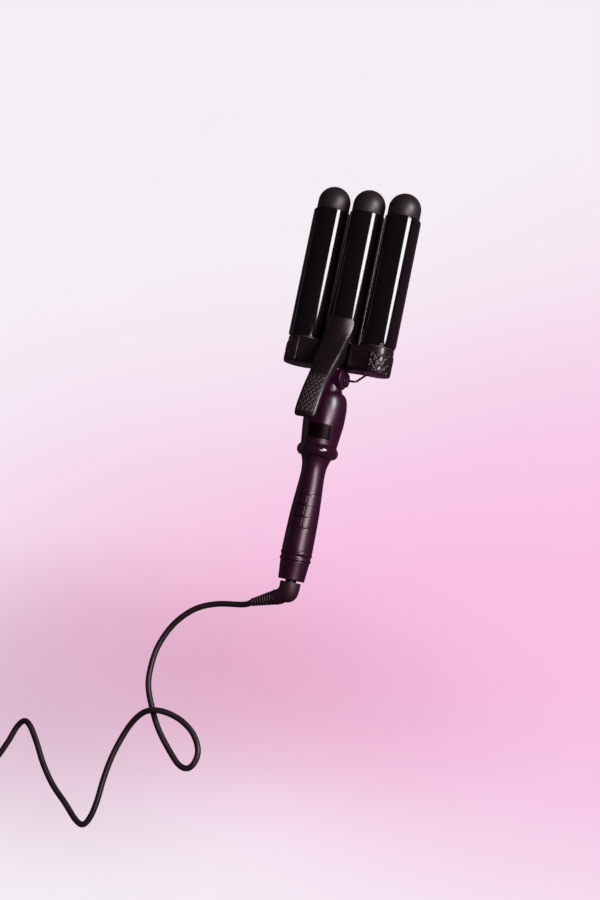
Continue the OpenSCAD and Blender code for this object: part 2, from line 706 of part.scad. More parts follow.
// the middle barrel's foot, carried by the lever's bracket
holder_a = bar_top + 0.6;
pin_row_a = hinge_a + 9.4;
pin_row_z = cuff_top - 4.6;
module middle_holder() {
  color(black) placed() difference() {
    union() {
      rod_y(collar_r, holder_a, sleeve_a - seat, 0, -barrel_drop);
      rod_y(core_r - core_wall - seat, sleeve_a - 1, sleeve_a + 5, 0, -barrel_drop);
      box(-cheek_in + seat, cheek_in - seat, hinge_a + ear_r + 1.6, sleeve_a - 0.5,
        pin_row_z - 1.7, pin_row_z + 1.7);
    }
    rod_x(1.22, -12, -3, pin_row_a, pin_row_z);
    rod_x(1.22, 3, 12, pin_row_a, pin_row_z);
  }
}
module holder_pins() {
  color(steel) placed() for (s = [0, 1]) mirror([s, 0, 0])
    rod_x(1.2, 3.6, cheek_out - 0.05, pin_row_a, pin_row_z);
}

// thumb lever
function crown(a, x) = lookup(a, row(3)) * pow(x / lookup(a, row(2)), 2);
function lever_top(a, x) = lookup(a, row(1)) - crown(a, x);
u_steps = [-1, -0.96, -0.8, -0.6, -0.4, -0.2, 0, 0.2, 0.4, 0.6, 0.8, 0.96, 1];
function lever_outer(r) = concat([[-r[2], r[0], r[4]]],
  [for (u = u_steps) [u * r[2], r[0], lever_top(r[0], u * r[2]) - (abs(u) == 1 ? 0.7 : 0)]],
  [[r[2], r[0], r[4]]]);
function lever_inner(r) = let (e = r[4],
  w = max(r[2] - lever_wall, abs(r[0] - hinge_a) < 12.5 ? cheek_out + air : 0))
  concat([[-w, r[0], e]], [for (u = u_steps) [u * w, r[0],
    max(e + 0.02, lever_top(r[0], u * w) - lever_wall,
    r[0] > sleeve_a ? barrel_back(u * w) : e)]], [[w, r[0], e]]);
module skin(outer, inner) {
  n = len(outer[0]);
  m = len(outer);
  pts = concat([for (s = outer) for (p = s) p], [for (s = inner) for (p = s) p]);
  o = function (j, i) j * n + i;
  k = function (j, i) (m + j) * n + i;
  faces = concat(
    [for (j = [0:m - 2]) for (i = [0:n - 2]) each [[o(j, i), o(j + 1, i), o(j, i + 1)],
      [o(j, i + 1), o(j + 1, i), o(j + 1, i + 1)]]],
    [for (j = [0:m - 2]) for (i = [0:n - 2]) each [[k(j, i), k(j, i + 1), k(j + 1, i)],
      [k(j, i + 1), k(j + 1, i + 1), k(j + 1, i)]]],
    [for (i = [0:n - 2]) each [[o(0, i), o(0, i + 1), k(0, i)],
      [o(0, i + 1), k(0, i + 1), k(0, i)]]],
    [for (i = [0:n - 2]) each [[o(m - 1, i), k(m - 1, i), o(m - 1, i + 1)],
      [o(m - 1, i + 1), k(m - 1, i), k(m - 1, i + 1)]]],
    [for (j = [0:m - 2]) each [[o(j, 0), k(j, 0), o(j + 1, 0)],
      [k(j, 0), k(j + 1, 0), o(j + 1, 0)]]],
    [for (j = [0:m - 2]) each [[o(j, n - 1), o(j + 1, n - 1), k(j, n - 1)],
      [k(j, n - 1), o(j + 1, n - 1), k(j + 1, n - 1)]]]);
  polyhedron(points = pts, faces = faces, convexity = 6);
}
module lever_shell() {
  color(black) placed() skin([for (r = lever_rows) lever_outer(r)],
    [for (r = lever_rows) lever_inner(r)]);
}
pad_stations = [for (a = [-61.6, -60.8, -57, -51, -45, -39, -33, -28, -24, -23.2]) a + hinge_a];
module thumb_pad() {
  d = 0.12;
  half = [7, 8, 8.2, 8.3, 8.4, 8.5, 8.6, 8.7, 8.6, 7.6];
  rows = [for (k = [0:len(pad_stations) - 1]) [pad_stations[k], half[k]]];
  color(plum) placed() skin(
    [for (r = rows) [for (u = [-1:0.25:1]) [u * r[1], r[0],
      lever_top(r[0], u * r[1]) + d + pad_t - (abs(u) == 1 ? 0.5 : 0)]]],
    [for (r = rows) [for (u = [-1:0.25:1]) [u * r[1], r[0], lever_top(r[0], u * r[1]) + d]]]);
}
module lever_liner() {
  top = [for (a = [hinge_a - 54:5:hinge_a - 14]) [a, lever_top(a, 7) - lever_wall - 0.2]];
  color(black) placed() side_cut(-7, 7, concat(top, rev([for (q = top) [q[0], q[1] - 1.4]])));
}
module lever_bracket() {
  top = [for (d = [-7, -3, 2, 7, 11]) let (a = hinge_a + d)
    [a, lever_top(a, cheek_out) - lever_wall - 0.3]];
  color(black) placed() difference() {
    union() {
      for (x = [-cheek_out, cheek_in]) {
        side_cut(x, x + 2, concat([[hinge_a - 3.4, hinge_z - 3.4]], top,
          [[hinge_a + 11.4, hinge_z - 4.8], [hinge_a + 3, hinge_z - 4.3]]));
        rod_x(5, x, x + 2, hinge_a, hinge_z);
      }
      side_cut(-cheek_out, cheek_out, concat(top, rev([for (q = top) [q[0], q[1] - 1.2]])));
    }
    rod_x(pin_r + 0.02, -20, 20, hinge_a, hinge_z);
    rod_x(1.22, -20, 20, pin_row_a, pin_row_z);
  }
}
module hinge_pin() {
  color(steel) placed() rod_x(pin_r, -cheek_out + 0.05, cheek_out - 0.05, hinge_a, hinge_z);
}
spring_wire = 0.48;
spring_r = 3.1;
spring_turns = 4;
spring_pts = concat([[-2.5, -spring_r, -7.6], [-2.5, -spring_r, -5], [-2.5, -spring_r, -2]],
  [for (t = [0:18:360 * spring_turns + 180]) [-2.5 + 5 * t / (360 * spring_turns + 180),
    -spring_r * cos(t), spring_r * sin(t)]],
  [[2.5, spring_r, -2]]);
module clamp_spring() {
  color(steel) placed() translate([0, hinge_a, hinge_z])
    swept(spring_pts, spring_wire, 8, [1, 0, 0]);
}

// wire stand
bend_r = 3;
// quarter bend of the wire around [x, z], starting at an angle
module bend(x, z, from) {
  translate([x, 0, z]) rotate([90, 0, 0]) rotate([0, 0, from]) rotate_extrude(angle = 90)
    translate([bend_r, 0]) circle(r = wire_r, $fn = 40);
}
module wire_stand() {
  h = stand_half - bend_r;
  color(steel) placed() translate([0, stand_a, stand_z]) rotate([stand_lean, 0, 0]) {
    for (s = [0, 1]) mirror([s, 0, 0]) {
      rod_x(wire_r, 9.8, h, 0, 0);
      bend(h, -bend_r, 0);
      translate([stand_half, 0, bend_r - stand_leg])
        cylinder(r = wire_r, h = stand_leg - 2 * bend_r);
      bend(h, bend_r - stand_leg, -90);
    }
    rod_x(wire_r, -h, h, 0, -stand_leg);
  }
}
module stand_foot() {
  color(black) placed() difference() {
    rod_x(foot_r, -16, 16, foot_a, foot_z);
    rod_x(wire_r + 0.03, -20, 20, foot_a, foot_z);
  }
}

// swivel cord outlet
module swivel_stem() {
  color(steel) placed() difference() {
    union() {
      rod_y(stem_r, -gap_a - 3, 13);
      rod_y(7.4, 2.2 + air, 4.6);
    }
    rod_y(2.6, -gap_a - 4, 14);
  }
}
module swivel_socket() {
  color(white) placed() tube_y(radius_at(cap_pts, 6) - wall - seat, stem_r + run_fit, 6, 11.5);
}
module aim() {
  translate([0, outlet_a, 0]) rotate([0, 0, -outlet_turn]) children();
}
module cord_elbow() {
  color(black) placed() difference() {
    union() {
      turned([[0, -gap_a], [8.6, -gap_a], [9.3, -gap_a - 0.4], [9.55, -gap_a - 1.2],
        [9.4, outlet_a + 3.8], [9.3, outlet_a + 0.8], [9.1, outlet_a - 1.5],
        [8.5, outlet_a - 3.6], [7.4, outlet_a - 5.4], [5.6, outlet_a - 6.9],
        [3.2, outlet_a - 7.9], [0, outlet_a - 8.3]]);
      translate([0, outlet_a, 0]) rotate([0, 0, -outlet_turn]) rotate([90, 0, 0])
        cylinder(r = 7.1, h = relief_from - seat);
    }
    rod_y(stem_r + 0.02, -gap_a - 3.05, 0);
    translate([0, outlet_a, 0]) rotate([0, 0, -outlet_turn]) rotate([90, 0, 0])
      translate([0, 0, relief_from - 2.4]) cylinder(r = 4.2, h = 5);
  }
}
ribs = 9;
module strain_relief() {
  step = relief_len / ribs;
  r = function (t) relief_r + (relief_tip_r - relief_r) * t / relief_len;
  color(black) placed() translate([0, outlet_a, 0]) rotate([0, 0, -outlet_turn])
    rotate([90, 0, 0]) translate([0, 0, relief_from]) rotate_extrude() polygon(concat(
      [[0, -2.3], [4.1, -2.3], [4.1, 0]],
      [for (k = [0:ribs - 1]) each [[r(k * step), k * step], [r(k * step), (k + 0.62) * step],
        [r(k * step) - 0.9, (k + 0.7) * step], [r(k * step) - 0.9, (k + 0.98) * step]]],
      [[relief_tip_r, relief_len], [0, relief_len]]));
}

// cord, coil and plug
module cord_tube() {
  color(black) on_table() swept(smooth(cord_pts), cord_d / 2, 10, [0, 0, 1]);
}
module cord_coil() {
  color(black) on_table() translate([coil_c[0], coil_c[1], coil_z]) rotate_extrude()
    translate([coil_r, 0]) circle(r = bundle_r, $fn = 48);
}
module coil_tie() {
  color(black) on_table() translate([coil_c[0] - tie_len / 2, coil_c[1] - coil_r, coil_z])
    rotate([0, 90, 0]) difference() {
      cylinder(r = bundle_r + tie_fit + strap_t, h = tie_len);
      translate([0, 0, -1]) cylinder(r = bundle_r + tie_fit, h = tie_len + 2);
    }
}
module plug_relief() {
  color(black) on_table() translate([plug_x, plug_foot, plug_z]) rotate([-90, 0, 0])
    rotate_extrude() polygon([[0, 0], [3, 0], [3.2, 4], [3, 4.5], [3.5, 8], [3.3, 8.5],
      [3.9, 12], [3.7, 12.5], [4.4, plug_body_a - plug_foot - seat],
      [0, plug_body_a - plug_foot - seat]]);
}
module plug_body() {
  color(black) on_table() translate([plug_x, plug_body_a, 0]) difference() {
    translate([0, 0, 0.3]) linear_extrude(13.4) polygon([[-6, 0], [6, 0], [11, 6], [16, 16],
      [17.5, 22], [17.5, plug_body_len - 3], [14.5, plug_body_len], [-14.5, plug_body_len],
      [-17.5, plug_body_len - 3], [-17.5, 22], [-16, 16], [-11, 6]]);
    for (s = [-1, 1]) translate([s * plug_pin_gap / 2, plug_body_len - pin_seat - 0.1, plug_z])
      rotate([-90, 0, 0]) cylinder(r = plug_pin_r + pin_root + 0.02, h = 12);
  }
}
module plug_pins() {
  color(brass) on_table() for (s = [-1, 1])
    translate([plug_x + s * plug_pin_gap / 2, plug_body_a + plug_body_len - pin_seat, plug_z])
      rotate([-90, 0, 0]) rotate_extrude() polygon([[0, 0], [plug_pin_r + pin_root, 0],
        [plug_pin_r + pin_root, pin_seat], [plug_pin_r, pin_seat],
        [plug_pin_r, pin_seat + plug_pin_len - 1], [plug_pin_r - 1, pin_seat + plug_pin_len],
        [0, pin_seat + plug_pin_len]]);
}

bulb_front();
bulb_back();
waist_ring();
grip_front();
grip_back();
groove_ring();
end_cap();
display_window();
lcd_panel();
button_power();
button_up();
button_down();
control_board();
tact_switches();
board_parts();
power_board();
wire_loom();
case_screws();
neck_stem();
stand_washers();
crossbar_body();
crossbar_cover();
cover_screws_set();
cup_left();
cup_right();
hinge_bushes();
side_collars();
core_left();
core_right();
core_middle();
sleeve_left();
sleeve_right();
sleeve_middle();
dome_left();
dome_right();
dome_middle();
heater_left();
heater_right();
heater_middle();
thermal_fuses();
middle_holder();
holder_pins();
lever_shell();
thumb_pad();
lever_liner();
lever_bracket();
hinge_pin();
clamp_spring();
wire_stand();
stand_foot();
swivel_stem();
swivel_socket();
cord_elbow();
strain_relief();
cord_tube();
cord_coil();
coil_tie();
plug_relief();
plug_body();
plug_pins();
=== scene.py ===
import json
import math

import bmesh
import bpy
from mathutils import Matrix, Vector


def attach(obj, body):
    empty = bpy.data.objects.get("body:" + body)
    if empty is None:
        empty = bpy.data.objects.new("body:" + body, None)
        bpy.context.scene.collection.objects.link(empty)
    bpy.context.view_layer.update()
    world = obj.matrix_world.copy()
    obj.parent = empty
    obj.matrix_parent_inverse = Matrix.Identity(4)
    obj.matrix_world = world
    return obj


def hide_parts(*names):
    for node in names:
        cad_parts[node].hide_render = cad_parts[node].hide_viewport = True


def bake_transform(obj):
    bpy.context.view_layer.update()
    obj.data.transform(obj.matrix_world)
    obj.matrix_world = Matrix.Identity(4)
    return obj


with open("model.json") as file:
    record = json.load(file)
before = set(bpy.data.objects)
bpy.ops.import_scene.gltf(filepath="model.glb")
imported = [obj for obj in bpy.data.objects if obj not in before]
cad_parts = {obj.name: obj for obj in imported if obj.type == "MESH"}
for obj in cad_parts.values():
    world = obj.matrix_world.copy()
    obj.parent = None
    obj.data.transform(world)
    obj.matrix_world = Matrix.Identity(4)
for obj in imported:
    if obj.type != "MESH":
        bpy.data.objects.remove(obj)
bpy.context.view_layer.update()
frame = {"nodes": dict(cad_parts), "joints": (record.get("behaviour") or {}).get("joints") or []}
nodes = frame["nodes"]
scene = bpy.context.scene
print("frame loaded,", len(nodes), "solids")

# the handle's own frame: x across, y along the axis from the end cap, z towards the lever, in mm
swivelJoint = next(j for j in frame["joints"] if j["name"] == "cord_swivel")
handleFoot = Vector(swivelJoint["pos_m"])
handleAxis = Vector(swivelJoint["axis"]).normalized()
across = Vector((1, 0, 0))
millimetre = Matrix.Diagonal((0.001, 0.001, 0.001, 1))
handleFrame = (Matrix.Translation(handleFoot)
               @ Matrix((across, handleAxis, across.cross(handleAxis))).transposed().to_4x4()
               @ millimetre)
tableFrame = Matrix.Translation((0, handleFoot.y, 0)) @ millimetre

# camera
cameraSetup = {
    "place": (0.5818, handleFoot.y - 0.2552, 1.3742),
    "right": (0.9062, 0.2617, -0.3320),
    "up": (-0.1501, 0.9334, 0.3259),
    "back": (0.3952, -0.2455, 0.8852),
    "lens": 65.88,
}
cameraData = bpy.data.cameras.new("productCamera")
cameraData.sensor_fit = "VERTICAL"
cameraData.sensor_height = 36
cameraData.lens = cameraSetup["lens"]
camera = bpy.data.objects.new("productCamera", cameraData)
cameraTurn = Matrix([cameraSetup[k] for k in ("right", "up", "back")]).transposed()
camera.matrix_world = Matrix.Translation(cameraSetup["place"]) @ cameraTurn.to_4x4()
scene.collection.objects.link(camera)
scene.camera = camera


# mesh helpers
def shadeSmooth(mesh, sharpDegrees):
    mesh.shade_smooth()
    mesh.set_sharp_from_angle(angle=math.radians(sharpDegrees))


def tidyMesh(obj, sharpDegrees=40):
    mesh = bmesh.new()
    mesh.from_mesh(obj.data)
    bmesh.ops.remove_doubles(mesh, verts=mesh.verts, dist=2e-6)
    bmesh.ops.recalc_face_normals(mesh, faces=mesh.faces)
    mesh.to_mesh(obj.data)
    mesh.free()
    shadeSmooth(obj.data, sharpDegrees)


def makePiece(name, verts, faces, material, place=handleFrame, sharpDegrees=40):
    mesh = bpy.data.meshes.new(name)
    mesh.from_pydata([place @ Vector(v) for v in verts], [], faces)
    mesh.materials.append(material)
    obj = bpy.data.objects.new(name, mesh)
    scene.collection.objects.link(obj)
    tidyMesh(obj, sharpDegrees)
    return obj


def settle(obj, sharpDegrees=40):
    # turns live modifiers into a plain mesh
    evaluated = obj.evaluated_get(bpy.context.evaluated_depsgraph_get())
    mesh = bpy.data.meshes.new_from_object(evaluated)
    obj.modifiers.clear()
    obj.data = mesh
    mesh.name = obj.name
    shadeSmooth(mesh, sharpDegrees)
    return obj


def softenEdges(obj, width, segments=3, degrees=35, sharpDegrees=40):
    bevel = obj.modifiers.new("softEdges", "BEVEL")
    bevel.width = width * 0.001
    bevel.segments = segments
    bevel.limit_method = "ANGLE"
    bevel.angle_limit = math.radians(degrees)
    bevel.use_clamp_overlap = True
    return settle(obj, sharpDegrees)


def combine(obj, others, sharpDegrees=40, operation="DIFFERENCE"):
    # cuts the other solids away, or unites them with the piece
    for other in others:
        step = obj.modifiers.new("combine", "BOOLEAN")
        step.operation, step.solver, step.object = operation, "EXACT", other
    settle(obj, sharpDegrees)
    for other in others:
        bpy.data.objects.remove(other)
    return obj


def joinPiece(obj, other):
    # two finished pieces as one object
    bpy.ops.object.select_all(action="DESELECT")
    other.select_set(True)
    obj.select_set(True)
    bpy.context.view_layer.objects.active = obj
    bpy.ops.object.join()
    return obj


def joinMeshes(parts):
    # [(verts, faces), ...] as one list of each
    verts, faces = [], []
    for v, f in parts:
        base = len(verts)
        verts += v
        faces += [[i + base for i in face] for face in f]
    return verts, faces


def smoothLine(points, steps=4):
    # Catmull-Rom line through the points
    out = []
    last = len(points) - 1
    for i in range(last):
        p0, p1, p2, p3 = (Vector(points[max(min(i + k, last), 0)]) for k in (-1, 0, 1, 2))
        for k in range(steps):
            t = k / steps
            out.append(tuple(0.5 * ((2 * p1) + (p2 - p0) * t
                                    + (2 * p0 - 5 * p1 + 4 * p2 - p3) * t * t
                                    + (3 * p1 - p0 - 3 * p2 + p3) * t ** 3)))
    return out + [tuple(points[-1])]


def roundCorners(points, radius, steps=4, closed=True):
    # each corner of a flat outline becomes a small curve
    out = []
    count = len(points)
    for i, p in enumerate(points):
        if not closed and i in (0, count - 1):
            out.append(tuple(p))
            continue
        p = Vector(p)
        before, after = Vector(points[i - 1]) - p, Vector(points[(i + 1) % count]) - p
        rb, ra = min(radius, before.length * 0.48), min(radius, after.length * 0.48)
        start, end = p + before.normalized() * rb, p + after.normalized() * ra
        for k in range(steps + 1):
            t = k / steps
            out.append(tuple((1 - t) ** 2 * start + 2 * t * (1 - t) * p + t * t * end))
    return out


def lathe(profile, x=0, z=0, steps=128, start=0, sweep=360):
    # closed profile of [radius, station]; a part sweep gets flat ends
    full = abs(sweep - 360) < 1e-6
    turns = steps if full else steps + 1
    n = len(profile)
    verts = []
    for k in range(turns):
        angle = math.radians(start + sweep * k / steps)
        verts += [(x + r * math.cos(angle), a, z + r * math.sin(angle)) for r, a in profile]
    faces = []
    for k in range(steps):
        j = (k + 1) % turns
        for i in range(n):
            m = (i + 1) % n
            faces.append([k * n + i, k * n + m, j * n + m, j * n + i])
    if not full:
        faces += [list(range(n)), [steps * n + i for i in reversed(range(n))]]
    return verts, faces


def prism(outline, a0, a1):
    # outline [x, z] extruded along the handle
    return sweepRings([[(x, a, z) for x, z in outline] for a in (a0, a1)])


def sweepRings(rings):
    # loft through closed rings of equal count, both ends closed
    n = len(rings[0])
    verts = [p for ring in rings for p in ring]
    faces = [[j * n + i, j * n + (i + 1) % n, (j + 1) * n + (i + 1) % n, (j + 1) * n + i]
             for j in range(len(rings) - 1) for i in range(n)]
    return verts, faces + [list(range(n)), [(len(rings) - 1) * n + i for i in reversed(range(n))]]


def wireRings(points, radius, sides=16):
    # round wire along points, with its rings kept level
    rings = []
    count = len(points)
    for i, p in enumerate(points):
        p = Vector(p)
        along = (Vector(points[min(i + 1, count - 1)]) - Vector(points[max(i - 1, 0)])).normalized()
        side = Vector((0, 0, 1)).cross(along)
        side = side.normalized() if side.length > 1e-4 else Vector((1, 0, 0))
        top = along.cross(side)
        rings.append([tuple(p + radius * (math.cos(t) * side + math.sin(t) * top))
                      for t in (2 * math.pi * k / sides for k in range(sides))])
    return rings


def profileAt(profile, a):
    # radius of a [radius, station] profile at a station
    for (r0, a0), (r1, a1) in zip(profile, profile[1:]):
        if a0 <= a <= a1:
            return r0 + (r1 - r0) * (a - a0) / max(a1 - a0, 1e-9)
    return profile[0][0] if a < profile[0][1] else profile[-1][0]


def roundRect(x, a, w, l, r, corner=8):
    # its straight sides get points too, so that they can follow a curved surface
    centres = [(x + cx * (w / 2 - r), a + ca * (l / 2 - r))
               for cx, ca in ((1, -1), (1, 1), (-1, 1), (-1, -1))]
    pts = []
    for i, (cx, ca) in enumerate(centres):
        for k in range(corner + 1):
            t = math.radians(90 * (i - 1) + 90 * k / corner)
            pts.append((cx + r * math.cos(t), ca + r * math.sin(t)))
        nx, na = centres[(i + 1) % 4]
        t = math.radians(90 * i)
        end = Vector((nx + r * math.cos(t), na + r * math.sin(t)))
        pts += [tuple(Vector(pts[-1]).lerp(end, k / 8)) for k in range(1, 8)]
    return pts


def skinPatch(x, a, w, l, r, top, bottom, soft=0.4):
    # block with a rounded rectangular outline whose top follows a surface
    insets = [min(w, l) / 2 - 0.05, min(w, l) * 0.4, min(w, l) * 0.3, min(w, l) * 0.2,
              min(w, l) * 0.1, soft, soft * 0.6, soft * 0.3, soft * 0.08, 0]
    rings = []
    for q in insets:
        drop = soft - math.sqrt(max(soft ** 2 - max(soft - q, 0) ** 2, 0))
        rings.append([(px, pa, top(px, pa) - drop)
                      for px, pa in roundRect(x, a, w - 2 * q, l - 2 * q, max(r - q, 0.04))])
    rings.append([(px, pa, bottom(px, pa)) for px, pa, _ in rings[-1]])
    return sweepRings(rings)


def carry(obj, body, *replaced, slot=None):
    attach(obj, body)
    if replaced:
        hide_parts(*replaced)
    return obj


# shader groups
def startGroup(name, inputs, outputs):
    tree = bpy.data.node_groups.new(name, "ShaderNodeTree")
    for label, kind, value in inputs:
        socket = tree.interface.new_socket(label, in_out="INPUT", socket_type=kind)
        socket.default_value = value
    for label, kind in outputs:
        tree.interface.new_socket(label, in_out="OUTPUT", socket_type=kind)
    return tree, tree.nodes.new("NodeGroupInput"), tree.nodes.new("NodeGroupOutput")


def addNode(tree, kind, links=None, **settings):
    node = tree.nodes.new(kind)
    for key, value in settings.items():
        if key.startswith("in_"):
            name = key[3:].replace("_", " ")
            (node.inputs[int(name)] if name.isdigit() else node.inputs[name]).default_value = value
        else:
            setattr(node, key, value)
    for key, source in (links or {}).items():
        tree.links.new(source, node.inputs[key])
    return node


def mixColour(tree, share, first, second, **settings):
    # each colour is a socket, or a value
    node = addNode(tree, "ShaderNodeMixRGB", **settings)
    for name, value in (("Fac", share), ("Color1", first), ("Color2", second)):
        if isinstance(value, bpy.types.NodeSocket):
            tree.links.new(value, node.inputs[name])
        else:
            node.inputs[name].default_value = value
    return node.outputs["Color"]


def buildMouldGrain():
    # fine pitted grain of moulded plastic with slow cloudy change in colour and gloss
    tree, start, end = startGroup("mouldGrain", [
        ("Vector", "NodeSocketVector", (0, 0, 0)),
        ("Colour", "NodeSocketColor", (0.1, 0.1, 0.1, 1)),
        ("Second Colour", "NodeSocketColor", (0.1, 0.1, 0.1, 1)),
        ("Grain Scale", "NodeSocketFloat", 1500.0),
        ("Cloud Scale", "NodeSocketFloat", 30.0),
        ("Low Roughness", "NodeSocketFloat", 0.3),
        ("High Roughness", "NodeSocketFloat", 0.5)],
        [("Colour", "NodeSocketColor"), ("Roughness", "NodeSocketFloat"),
         ("Height", "NodeSocketFloat")])
    grain = addNode(tree, "ShaderNodeTexNoise", {"Vector": start.outputs["Vector"],
                    "Scale": start.outputs["Grain Scale"]}, in_Detail=2.0, in_Roughness=0.55)
    cloud = addNode(tree, "ShaderNodeTexNoise", {"Vector": start.outputs["Vector"],
                    "Scale": start.outputs["Cloud Scale"]}, in_Detail=3.0, in_Roughness=0.5)
    mixed = addNode(tree, "ShaderNodeMath", {0: grain.outputs["Fac"], 1: cloud.outputs["Fac"]},
                    operation="MULTIPLY_ADD")
    tree.links.new(cloud.outputs["Fac"], mixed.inputs[2])
    spread = addNode(tree, "ShaderNodeMapRange", {"Value": mixed.outputs[0]}, in_From_Min=0.4,
                     in_From_Max=1.1)
    colour = mixColour(tree, spread.outputs["Result"], start.outputs["Colour"],
                       start.outputs["Second Colour"])
    rough = addNode(tree, "ShaderNodeMapRange", {"Value": cloud.outputs["Fac"],
                    "To Min": start.outputs["Low Roughness"],
                    "To Max": start.outputs["High Roughness"]}, in_From_Min=0.35, in_From_Max=0.65)
    tree.links.new(colour, end.inputs["Colour"])
    tree.links.new(rough.outputs["Result"], end.inputs["Roughness"])
    tree.links.new(grain.outputs["Fac"], end.inputs["Height"])
    return tree


def buildFineScratches():
    # long thin streaks along one direction, for drawn wire and turned metal
    tree, start, end = startGroup("fineScratches", [
        ("Vector", "NodeSocketVector", (0, 0, 0)),
        ("Stretch", "NodeSocketVector", (1, 1, 1)),
        ("Low Roughness", "NodeSocketFloat", 0.2),
        ("High Roughness", "NodeSocketFloat", 0.4)],
        [("Mask", "NodeSocketFloat"), ("Roughness", "NodeSocketFloat")])
    stretched = addNode(tree, "ShaderNodeVectorMath", {0: start.outputs["Vector"],
                        1: start.outputs["Stretch"]}, operation="MULTIPLY")
    streak = addNode(tree, "ShaderNodeTexNoise", {"Vector": stretched.outputs[0]}, in_Scale=1.0,
                     in_Detail=4.0, in_Roughness=0.7)
    rough = addNode(tree, "ShaderNodeMapRange", {"Value": streak.outputs["Fac"],
                    "To Min": start.outputs["Low Roughness"],
                    "To Max": start.outputs["High Roughness"]}, in_From_Min=0.3, in_From_Max=0.7)
    tree.links.new(streak.outputs["Fac"], end.inputs["Mask"])
    tree.links.new(rough.outputs["Result"], end.inputs["Roughness"])
    return tree


def buildDustFlecks():
    # sparse pale specks that lie on a surface
    tree, start, end = startGroup("dustFlecks", [
        ("Vector", "NodeSocketVector", (0, 0, 0)),
        ("Colour", "NodeSocketColor", (0.1, 0.1, 0.1, 1)),
        ("Fleck Colour", "NodeSocketColor", (0.5, 0.5, 0.5, 1)),
        ("Fleck Scale", "NodeSocketFloat", 400.0),
        ("Amount", "NodeSocketFloat", 0.2)], [("Colour", "NodeSocketColor")])
    cells = addNode(tree, "ShaderNodeTexVoronoi", {"Vector": start.outputs["Vector"],
                    "Scale": start.outputs["Fleck Scale"]})
    spot = addNode(tree, "ShaderNodeMapRange", {"Value": cells.outputs["Distance"]},
                   in_From_Min=0.05, in_From_Max=0.12, in_To_Min=1.0, in_To_Max=0.0)
    part = addNode(tree, "ShaderNodeTexNoise", {"Vector": start.outputs["Vector"]}, in_Scale=60.0,
                   in_Detail=2.0)
    patch = addNode(tree, "ShaderNodeMapRange", {"Value": part.outputs["Fac"]}, in_From_Min=0.5,
                    in_From_Max=0.75)
    both = addNode(tree, "ShaderNodeMath", {0: spot.outputs["Result"], 1: patch.outputs["Result"]},
                   operation="MULTIPLY")
    scaled = addNode(tree, "ShaderNodeMath", {0: both.outputs[0], 1: start.outputs["Amount"]},
                     operation="MULTIPLY")
    colour = mixColour(tree, scaled.outputs[0], start.outputs["Colour"],
                       start.outputs["Fleck Colour"])
    tree.links.new(colour, end.inputs["Colour"])
    return tree


mouldGrain = buildMouldGrain()
fineScratches = buildFineScratches()
dustFlecks = buildDustFlecks()


def startMaterial(name):
    material = bpy.data.materials.new(name)
    material.use_nodes = True
    tree = material.node_tree
    shader = tree.nodes["Principled BSDF"]
    coords = tree.nodes.new("ShaderNodeTexCoord").outputs["Object"]
    return material, tree, shader, coords


def addBump(tree, shader, height, distance, strength=1.0):
    bump = addNode(tree, "ShaderNodeBump", {"Height": height}, in_Strength=strength,
                   in_Distance=distance)
    tree.links.new(bump.outputs["Normal"], shader.inputs["Normal"])
    return bump


def shade(colour):
    # a colour as it is seen, 0-255, to the linear value that the shader takes
    return tuple(((c / 255 + 0.055) / 1.055) ** 2.4 if c > 10 else c / 255 / 12.92
                 for c in colour) + (1,)


def plasticMaterial(name, colour, second, rough=(0.3, 0.45), grain=1600, cloud=25, bump=0.00002,
                    coat=0.0, coatRough=0.1, level=0.5, dust=0.0):
    material, tree, shader, coords = startMaterial(name)
    group = addNode(tree, "ShaderNodeGroup", {"Vector": coords}, node_tree=mouldGrain,
                    in_Colour=shade(colour), in_Second_Colour=shade(second), in_Grain_Scale=grain,
                    in_Cloud_Scale=cloud, in_Low_Roughness=rough[0], in_High_Roughness=rough[1])
    paint = group.outputs["Colour"]
    if dust:
        flecks = addNode(tree, "ShaderNodeGroup", {"Vector": coords, "Colour": paint},
                         node_tree=dustFlecks, in_Fleck_Colour=shade((170, 160, 165)),
                         in_Fleck_Scale=700, in_Amount=dust)
        paint = flecks.outputs["Colour"]
    tree.links.new(paint, shader.inputs["Base Color"])
    tree.links.new(group.outputs["Roughness"], shader.inputs["Roughness"])
    shader.inputs["Specular IOR Level"].default_value = level
    shader.inputs["Coat Weight"].default_value = coat
    shader.inputs["Coat Roughness"].default_value = coatRough
    if bump:
        addBump(tree, shader, group.outputs["Height"], bump)
    return material


def metalMaterial(name, colour, rough=(0.2, 0.4), stretch=(300, 4000, 4000)):
    material, tree, shader, coords = startMaterial(name)
    group = addNode(tree, "ShaderNodeGroup", {"Vector": coords}, node_tree=fineScratches,
                    in_Stretch=stretch, in_Low_Roughness=rough[0], in_High_Roughness=rough[1])
    tone = mixColour(tree, group.outputs["Mask"], shade(colour), shade([c * 0.82 for c in colour]))
    tree.links.new(tone, shader.inputs["Base Color"])
    tree.links.new(group.outputs["Roughness"], shader.inputs["Roughness"])
    shader.inputs["Metallic"].default_value = 1.0
    addBump(tree, shader, group.outputs["Mask"], 0.00001, 0.6)
    return material


